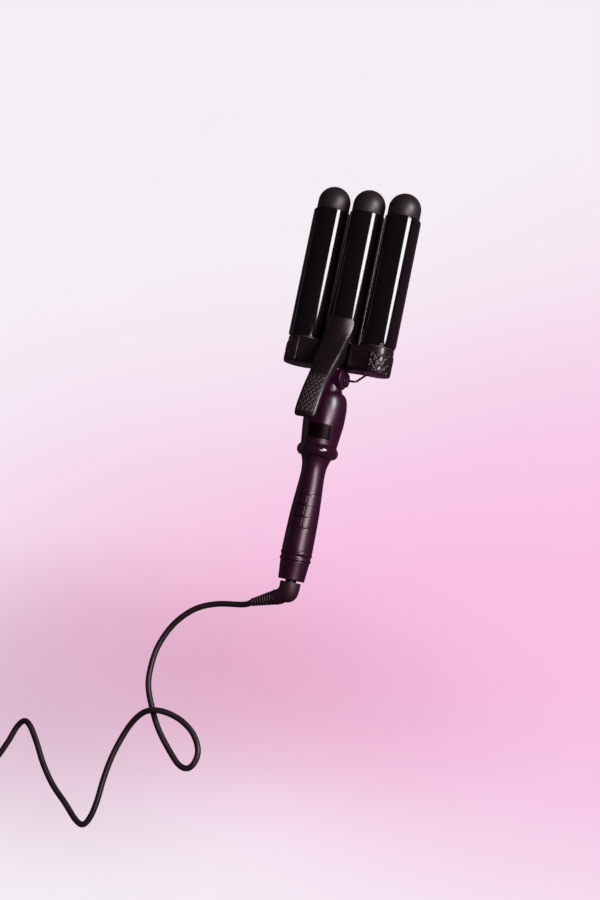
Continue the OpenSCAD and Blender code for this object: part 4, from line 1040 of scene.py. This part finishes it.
def makeNeck():
    n = neck
    stem = [(n["bore"], 169.6), (n["flange"], 169.6), (n["flange"], 172.2), (n["radius"], 172.4),
            (n["radius"], 176.6), (n["collar"], 176.6), (n["collar"], 178.6), (n["radius"], 178.6),
            (n["radius"], 197.9), (n["spigot"], 197.9), (n["spigot"], 203.8), (n["bore"], 203.8)]
    stem = makePiece("neckStem", *lathe(roundCorners(stem, 0.3, 3), steps=96),
                     finishes["gripSatin"])
    for radius, halfLong, at, height, edge in (
            (n["hub"], n["hubHalf"], n["hubAt"], n["hubHeight"], 1.2),
            (n["boss"], n["bossHalf"], n["bossAt"], n["bossHeight"], 0.6)):
        ring = roundCorners([(1.1, -halfLong), (radius, -halfLong), (radius, halfLong),
                             (1.1, halfLong)], edge, 6)
        verts, faces = lathe(ring, steps=64)
        verts = [(a, at + x, height + z) for x, a, z in verts]
        boss = makePiece("neckBoss", verts, faces, finishes["gripSatin"])
        combine(stem, [boss], 45, "UNION")
    carry(stem, "handle", "neck_stem", slot="dark_shell")


makeNeck()

# thumb lever
lever = {"hinge": 210, "cuffTop": 14.9, "sleeve": 223.6, "wall": 2.4, "cheek": 10.2,
         "round": 3.0, "bow": 1.5,
         "form": [(-65.6, 31.6, 7.8, 0.8, 30), (-64.8, 33.4, 9.4, 1, 30.1),
                  (-63.2, 34.2, 10.2, 1, 30.2), (-59, 33.9, 10.6, 1, 29.4),
                  (-53, 32.4, 10.7, 1, 27.6), (-47, 30.5, 10.7, 1, 25.4),
                  (-40, 28, 10.7, 1, 22.7), (-33, 25, 10.7, 1.1, 19.5),
                  (-26, 21.5, 10.8, 1.2, 14.8), (-19, 18, 11, 1.3, 9.1),
                  (-12, 14.5, 11.5, 1.4, 1.6), (-7, 11.9, 11.9, 1.5, -4.9),
                  (-3, 9.9, 12.2, 1.5, -7.3), (2, 7.3, 12.4, 1.6, -7.4),
                  (7, 5, 12.6, 2, -7.1), (11, 3.4, 12.8, 2.7, -5.9)],
         "cuff": [(3.2, 1.3, 13.3, 4.4), (8.2, 0.3, 13.8, 5.7), (14.2, 0, 14.2, 6.4),
                  (18.2, 0, 13.9, 6.1), (19.8, -0.05, 13, 5.2), (20.4, -0.25, 11.6, 4)]}


def barrelBack(x):
    # height of the middle barrel's back, with the running gap
    return barrel["drop"] + math.sqrt((barrel["radius"] + 0.18) ** 2 - x * x)


def leverRows():
    rows = [(a + lever["hinge"], z + lever["cuffTop"], w, c, e + lever["cuffTop"])
            for a, z, w, c, e in lever["form"]]
    rows += [(a + lever["sleeve"], z + lever["cuffTop"], w, c, barrelBack(w - lever["wall"]) + 0.03)
             for a, z, w, c in lever["cuff"]]
    return rows


def leverLines():
    # smooth stations between the rows; the five values are interpolated together
    rows = leverRows()
    out, last, steps = [], len(rows) - 1, 6
    for i in range(last):
        quad = [rows[max(min(i + k, last), 0)] for k in (-1, 0, 1, 2)]
        for k in range(steps):
            t = k / steps
            vals = []
            for p0, p1, p2, p3 in zip(*quad):
                a = quad[1][0], quad[2][0]
                m1 = (p2 - p0) / max(quad[2][0] - quad[0][0], 1e-6) * (a[1] - a[0])
                m2 = (p3 - p1) / max(quad[3][0] - quad[1][0], 1e-6) * (a[1] - a[0])
                vals.append((2 * t ** 3 - 3 * t * t + 1) * p1 + (t ** 3 - 2 * t * t + t) * m1
                            + (-2 * t ** 3 + 3 * t * t) * p2 + (t ** 3 - t * t) * m2)
            out.append(tuple(vals))
    return out + [rows[-1]]


def leverTop(row, x):
    # the tail's back is bowed a little more than the cuff's
    bow = lever["bow"] * min(max((lever["hinge"] - row[0]) / 14, 0), 1)
    return row[1] + bow * 0.35 - (row[3] + bow) * (x / row[2]) ** 2


def leverSection(row):
    # closed loop: outer skin from the left edge over the crown, then the inner skin back
    a, top, w, crown, edge = row
    side = leverTop(row, w)
    r = max(min(lever["round"], (side - edge) * 0.75, w * 0.5), 0.12)
    outer = [(-w, edge), (-w, edge + (side - r - edge) * 0.5), (-w, side - r)]
    for k in range(1, 7):
        t = math.pi / 2 * k / 6
        x = -w + r - r * math.cos(t)
        outer.append((x, side - r + r * math.sin(t) + (leverTop(row, x) - side)))
    flat = w - r
    outer += [(flat * (-1 + 2 * k / 18), leverTop(row, flat * (-1 + 2 * k / 18)))
              for k in range(1, 18)]
    outer += [(-x, z) for x, z in reversed(outer[:9])]
    wi = w - lever["wall"]
    if abs(a - lever["hinge"]) < 12.5:
        wi = max(wi, lever["cheek"])
    inner = []
    for k in range(25):
        x = wi * (1 - 2 * k / 24)
        z = max(edge + 0.02, leverTop(row, x) - lever["wall"])
        if a > lever["sleeve"]:
            z = max(z, barrelBack(x))
        inner.append((x, z))
    inner = [(wi, edge)] + inner + [(-wi, edge)]
    return [(x, a, z) for x, z in outer + inner]


def makeLever():
    rings = [leverSection(row) for row in leverLines()]
    shell = makePiece("leverShell", *sweepRings(rings), finishes["leverSatin"], sharpDegrees=55)
    softenEdges(shell, 0.5, 3, 60, 60)
    carry(shell, "clamp", "lever_shell", slot="bar_plastic")


pad = {"from": 148.3, "to": 186.9, "half": [(148.3, 7.4), (148.9, 8.4), (150, 8.8), (153, 8.95),
       (165, 9.1), (177, 9.1), (184, 9.0), (186, 8.7), (186.9, 7.6)], "base": 0.5,
       "cell": 4.3, "cellLong": 6.2, "studHeight": 0.7, "studWidth": 0.49, "studTop": 0.3,
       "soft": 0.5, "margin": 1.2}


def rowAt(rows, a):
    for r0, r1 in zip(rows, rows[1:]):
        if r0[0] <= a <= r1[0]:
            t = (a - r0[0]) / max(r1[0] - r0[0], 1e-9)
            return tuple(p + (q - p) * t for p, q in zip(r0, r1))
    return rows[0] if a < rows[0][0] else rows[-1]


def padHalf(a):
    return profileAt([(w, s) for s, w in pad["half"]], a)


def studForm(tree, inputs):
    # small four-sided stud, stretched along the lever
    slim = addNode(tree, "ShaderNodeMath", {0: inputs["Stud Width"]}, operation="MULTIPLY",
                   in_1=pad["studTop"])
    stud = addNode(tree, "GeometryNodeMeshCone",
                   {"Radius Bottom": inputs["Stud Width"], "Radius Top": slim.outputs[0],
                    "Depth": inputs["Stud Height"]}, fill_type="NONE", in_Vertices=4)
    return stud.outputs["Mesh"], {1: inputs["Stretch"]}


def makePad():
    rows = leverLines()
    stations = [pad["from"] + (pad["to"] - pad["from"]) * k / 60 for k in range(61)]
    soft, rings = pad["soft"], []
    for a in stations:
        row, half = rowAt(rows, a), padHalf(a)
        end = min(a - pad["from"], pad["to"] - a)
        drop = soft - math.sqrt(max(soft ** 2 - max(soft - end, 0) ** 2, 0))
        top, ring = [], []
        for k in range(33):
            x = half * (-1 + k / 16)
            fall = soft - math.sqrt(max(soft ** 2 - max(soft - (half - abs(x)), 0) ** 2, 0))
            top.append((x, a, leverTop(row, x) + 0.1 + pad["base"] - max(fall, drop) * 0.9))
            ring.append((x, a, leverTop(row, x) + 0.02))
        rings.append(top + ring[::-1])
    slab = makePiece("thumbPad", *sweepRings(rings), finishes["padRubber"], sharpDegrees=60)
    points, leans = [], []
    cell, tall = pad["cell"], pad["cellLong"]
    nx, na = int(18 / cell) + 2, int(40 / tall) + 2
    middle = (pad["from"] + pad["to"]) / 2
    for j in range(-na, na + 1):
        for i in range(-nx, nx + 1):
            x, a = i * cell / 2, middle + j * tall / 2
            if (i + j) % 2:
                continue
            inside = pad["from"] + pad["margin"] < a < pad["to"] - pad["margin"]
            if not inside or abs(x) > padHalf(a) - 0.95:
                continue
            row = rowAt(rows, a)
            slope = (rowAt(rows, a + 1)[1] - rowAt(rows, a - 1)[1]) / 2
            cross = -2 * row[3] * x / row[2] ** 2
            normal = handleFrame.to_3x3() @ Vector((-cross, -slope, 1))
            normal.normalize()
            z = leverTop(row, x) + 0.1 + pad["base"] - 0.03
            points.append(handleFrame @ Vector((x, a, z)))
            side = Vector((1, 0, 0))
            front = normal.cross(side).normalized()
            side = front.cross(normal)
            leans.append(Matrix((side, front, normal)).transposed().to_euler())
    values = {"Stud Width": cell * pad["studWidth"] * 0.001,
              "Stud Height": pad["studHeight"] * 0.001, "Stretch": tall / cell}
    knurl = repeatOn("padKnurl", points, leans, studForm, values, finishes["padRubber"], 20)
    joinPiece(slab, knurl)
    carry(slab, "clamp", "thumb_pad", slot="pad_grip")
    print("knurl studs:", len(points))


makeLever()
makePad()
print("lever made")

# swivel elbow and strain relief
elbow = {"radius": 9.5, "spout": 7.1, "centre": -13.3, "spoutLength": 12.5, "top": -1.85}


def elbowOutline():
    # matching points on the inner and outer side of the bend, in the plane of the handle's x and y
    d = Vector((outletDir.x, outletDir.y))
    n = Vector((d.y, -d.x))
    if n.y < 0:
        n = -n
    c, R, s = Vector((0, elbow["centre"])), elbow["radius"], elbow["spout"]
    # spout's inner edge meets the straight side here
    reach = (-R - s * n.x) / d.x
    corner = c + reach * d + s * n
    inner = [(-R, elbow["top"]), tuple(corner), tuple(c + elbow["spoutLength"] * d + s * n)]
    inner = roundCorners([Vector(p) for p in inner], 4.5, 10, closed=False)
    outer = [(R, elbow["top"]), (R * 0.995, -6), (R * 0.975, -9.5), (R * 0.92, -12.8),
             (R * 0.8, -15.8), (5.2, -18.6), (1.6, -20.4), (-2.2, -21.1)]
    outer += [tuple(c + k * d - (s + 0.05) * n) for k in (6.8, 9.6)]
    outer += [tuple(c + elbow["spoutLength"] * d - s * n)]
    outer = smoothLine(outer, 6)

    def spaced(line, steps=26):
        line = [Vector(p) for p in line]
        lengths = [0]
        for p, q in zip(line, line[1:]):
            lengths.append(lengths[-1] + (q - p).length)
        out, j = [], 0
        for k in range(steps + 1):
            want = lengths[-1] * k / steps
            while j < len(lengths) - 2 and lengths[j + 1] < want:
                j += 1
            t = (want - lengths[j]) / max(lengths[j + 1] - lengths[j], 1e-9)
            out.append(line[j].lerp(line[j + 1], t))
        return out
    return spaced(inner), spaced(outer)


def makeElbow():
    inner, outer = elbowOutline()
    rings, steps = [], len(inner) - 1
    for k, (p, q) in enumerate(zip(inner, outer)):
        t = k / steps
        height = elbow["radius"] + (elbow["spout"] - elbow["radius"]) * (t * t * (3 - 2 * t))
        middle, half = (p + q) / 2, (q - p) / 2
        rings.append([(middle.x + half.x * math.cos(v), middle.y + half.y * math.cos(v),
                       height * math.sin(v)) for v in (2 * math.pi * i / 48 for i in range(48))])
    # the bevelled upper rim under the end cap
    low = [(p[0] * 0.94, elbow["top"], p[2] * 0.94) for p in rings[0]]
    rings[0] = [(x, y - 0.5, z) for x, y, z in rings[0]]
    body = makePiece("cordElbow", *sweepRings([low] + rings), finishes["elbowRubber"],
                     sharpDegrees=50)
    carry(body, "swivel", "cord_elbow", slot="cord_boot")


relief = {"length": 23.6, "from": 12.6, "big": 6.8, "small": 3.9, "ribs": 9, "depth": 0.9,
          "neck": 4.1, "soft": 0.25, "ribRadius": 5, "ribThick": 0.78, "ribSunk": 0.72}


def ribForm(tree, inputs):
    # rounded rib, grown to the share kept on each point
    ring = addNode(tree, "GeometryNodeCurvePrimitiveCircle", {"Radius": inputs["Rib Radius"]},
                   in_Resolution=48)
    section = addNode(tree, "GeometryNodeCurvePrimitiveCircle",
                      {"Radius": inputs["Rib Thickness"]}, in_Resolution=10)
    tube = addNode(tree, "GeometryNodeCurveToMesh", {"Curve": ring.outputs["Curve"],
                   "Profile Curve": section.outputs["Curve"]})
    share = addNode(tree, "GeometryNodeInputNamedAttribute", data_type="FLOAT", in_Name="share")
    return tube.outputs["Mesh"], {k: share.outputs["Attribute"] for k in (0, 1)}


def makeRelief():
    r = relief
    # the sleeve is made along the handle, then turned to the outlet
    aim = Matrix.Translation((0, elbow["centre"], 0)) @ Matrix.Rotation(-outletTurn, 4, "Z")
    root, tip = -r["from"], -(r["from"] + r["length"])
    bore = r["small"] - r["soft"]
    core = [(0, root + 2), (r["neck"], root + 2), (r["neck"], root),
            (r["big"] - r["depth"], root), (r["small"] - r["depth"] * 0.7, tip + 0.6),
            (bore, tip + 0.5), (bore, tip), (0, tip)]
    verts, faces = lathe(core, steps=64)
    sleeve = makePiece("strainRelief", [aim @ Vector(v) for v in verts], faces,
                       finishes["elbowRubber"], sharpDegrees=40)
    points, shares = [], []
    step = r["length"] / r["ribs"]
    for k in range(r["ribs"]):
        t = (k + 0.32) * step
        outer = r["big"] + (r["small"] - r["big"]) * t / r["length"]
        points.append(handleFrame @ (aim @ Vector((0, -(r["from"] + t), 0))))
        shares.append((outer - r["ribSunk"]) / r["ribRadius"])
    axis = (handleFrame.to_3x3() @ outletDir).normalized()
    side = axis.orthogonal().normalized()
    lean = Matrix((side, axis.cross(side), axis)).transposed().to_euler()
    values = {"Rib Radius": r["ribRadius"] * 0.001, "Rib Thickness": r["ribThick"] * 0.001}
    ribs = repeatOn("reliefRibs", points, [lean] * len(points), ribForm, values,
                    finishes["elbowRubber"], 60, shares)
    print("relief ribs span", [round(v * 1000, 1) for v in ribs.dimensions])
    joinPiece(sleeve, ribs)
    carry(sleeve, "swivel", "strain_relief", slot="cord_boot")


makeElbow()
makeRelief()
print("outlet made")

# solids that keep their own mesh get their finish here
keptSolids = {
    "panelGrey": ["lcd_panel"], "boardGreen": ["control_board", "power_board"],
    "canMetal": ["tact_switches", "thermal_fuses"], "chipBlack": ["board_parts"],
    "loomSleeve": ["wire_loom"], "screwSteel": ["case_screws", "cover_screws_set"],
    "pinSteel": ["stand_washers", "hinge_pin", "holder_pins"],
    "barSatin": ["lever_liner", "middle_holder", "swivel_stem"], "bushBrass": ["hinge_bushes"],
    "coreMetal": ["core_left", "core_right", "core_middle"],
    "heaterWhite": ["heater_left", "heater_right", "heater_middle"],
    "bracketSteel": ["lever_bracket"], "springSteel": ["clamp_spring"],
    "wireSteel": ["wire_stand"], "footRubber": ["stand_foot"], "whiteNylon": ["swivel_socket"],
    "plugMetal": ["plug_pins"]}
for finish, names in keptSolids.items():
    for name in names:
        slots = nodes[name].data.materials
        if not slots:
            slots.append(None)
        for k in range(len(slots)):
            slots[k] = finishes[finish]
print("solids finished")

# floor and light
floorSetup = {
    "half": 6, "seen": 0.97, "mirrored": 0.05, "lit": (0.1, 0.035, 0.08), "cloud": 0.04,
    "pale": (250, 243, 250),
    # colour, middle, reach and strength of each soft pool; the fourth and fifth, darker and
    # duskier, are painted shadow to the left of the handle and under the cord
    "tintsAndPaintedShadow": [((253, 191, 234), (0.21, 0.00), (0.54, 0.23), 0.89),
              ((255, 197, 235), (0.34, 0.12), (0.28, 0.26), 0.68),
              ((251, 193, 222), (0.01, -0.05), (0.41, 0.14), 0.49),
              # painted shadow beside the handle's end and under the cord's loops
              ((219, 155, 191), (-0.05, -0.09), (0.23, 0.09), 0.56),
              ((214, 167, 195), (-0.24, -0.17), (0.20, 0.12), 0.66),
              ((238, 232, 225), (0.02, -0.73), (0.47, 0.12), 0.78)]}


def floorMaterial():
    # pale floor that turns pink to the right and below, with painted shadow to the left of the
    # handle and under the cord, seen at its own colour
    material, tree, shader, coords = startMaterial("paleFloor")
    tone = addNode(tree, "ShaderNodeRGB")
    tone.outputs[0].default_value = shade(floorSetup["pale"])
    paint = tone.outputs[0]
    for tint, (x, y), (wide, long), most in floorSetup["tintsAndPaintedShadow"]:
        # soft round pool of colour on the floor; the darker ones are painted shadow
        place = addNode(tree, "ShaderNodeVectorMath", {0: coords}, operation="SUBTRACT",
                        in_1=(x, handleFoot.y + y, 0))
        size = addNode(tree, "ShaderNodeVectorMath", {0: place.outputs[0]}, operation="DIVIDE",
                       in_1=(wide, long, 1))
        far = addNode(tree, "ShaderNodeVectorMath", {0: size.outputs[0]}, operation="LENGTH")
        near = addNode(tree, "ShaderNodeMapRange", {"Value": far.outputs["Value"]},
                       interpolation_type="SMOOTHSTEP", in_From_Max=1.6, in_To_Min=most,
                       in_To_Max=0.0)
        paint = mixColour(tree, near.outputs["Result"], paint, shade(tint))
    cloud = addNode(tree, "ShaderNodeTexNoise", {"Vector": coords}, in_Scale=3.0, in_Detail=1.0)
    paint = mixColour(tree, floorSetup["cloud"], paint, cloud.outputs["Color"],
                      blend_type="MULTIPLY")
    # dim where lamps light it, so that little comes back up
    lit = mixColour(tree, 1, paint, (*floorSetup["lit"], 1), blend_type="MULTIPLY")
    tree.links.new(lit, shader.inputs["Base Color"])
    shader.inputs["Roughness"].default_value = 0.9
    shader.inputs["Specular IOR Level"].default_value = 0.0
    glow = tree.nodes.new("ShaderNodeEmission")
    tree.links.new(paint, glow.inputs["Color"])
    seen = tree.nodes.new("ShaderNodeLightPath")
    mirrored = addNode(tree, "ShaderNodeMath", {0: seen.outputs["Is Glossy Ray"]},
                       operation="MULTIPLY", in_1=floorSetup["mirrored"])
    most = addNode(tree, "ShaderNodeMath", {0: seen.outputs["Is Camera Ray"],
                   1: mirrored.outputs[0]}, operation="MAXIMUM")
    most = addNode(tree, "ShaderNodeMath", {0: most.outputs[0],
                   1: seen.outputs["Is Transmission Ray"]}, operation="MAXIMUM")
    share = addNode(tree, "ShaderNodeMath", {0: most.outputs[0]}, operation="MULTIPLY",
                    in_1=floorSetup["seen"])
    mix = tree.nodes.new("ShaderNodeMixShader")
    tree.links.new(share.outputs[0], mix.inputs[0])
    tree.links.new(shader.outputs[0], mix.inputs[1])
    tree.links.new(glow.outputs[0], mix.inputs[2])
    tree.links.new(mix.outputs[0], tree.nodes["Material Output"].inputs["Surface"])
    return material


half = floorSetup["half"]
floorMesh = bpy.data.meshes.new("studioFloor")
floorMesh.from_pydata([(-half, -half, 0), (half, -half, 0), (half, half, 0), (-half, half, 0)], [],
                      [(0, 1, 2, 3)])
floorMesh.materials.append(floorMaterial())
floorObj = bpy.data.objects.new("studioFloor", floorMesh)
scene.collection.objects.link(floorObj)


lightSetup = {
    # name: [turned from the lever's side, station, distance, aim, size, power, colour]
    "barrelBox": (63, 620, 1000, 300, (0.36, 0.56), 13, (1, 0.96, 0.98)),
    "gripBox": (47, 150, 1000, 110, (0.5, 0.26), 7, (1, 0.67, 0.77)),
    "rimBox": (-82, 150, 1100, 150, (0.2, 0.9), 0.15, (1, 0.93, 0.97))}


def softBox(name, turn, station, distance, aim, size, power, colour):
    # oval lamp set round the handle's axis, its long side along the handle
    data = bpy.data.lights.new(name, "AREA")
    data.shape = "ELLIPSE"
    data.size, data.size_y = size
    data.energy = power
    data.color = colour
    light = bpy.data.objects.new(name, data)
    angle = math.radians(turn)
    place = handleFrame @ Vector((distance * math.sin(angle), station, distance * math.cos(angle)))
    away = (place - handleFrame @ Vector((0, aim, 0))).normalized()
    side = handleAxis.cross(away).normalized()
    light.matrix_world = (Matrix.Translation(place)
                          @ Matrix((side, away.cross(side), away)).transposed().to_4x4())
    scene.collection.objects.link(light)
    return light


world = bpy.data.worlds.new("studioAir")
scene.world = world
world.use_nodes = True
world.node_tree.nodes["Background"].inputs["Color"].default_value = (1, 0.9, 0.97, 1)
world.node_tree.nodes["Background"].inputs["Strength"].default_value = 0.05
for name, setup in lightSetup.items():
    softBox(name, *setup)
print("stage set")

scene.view_settings.view_transform = "Standard"
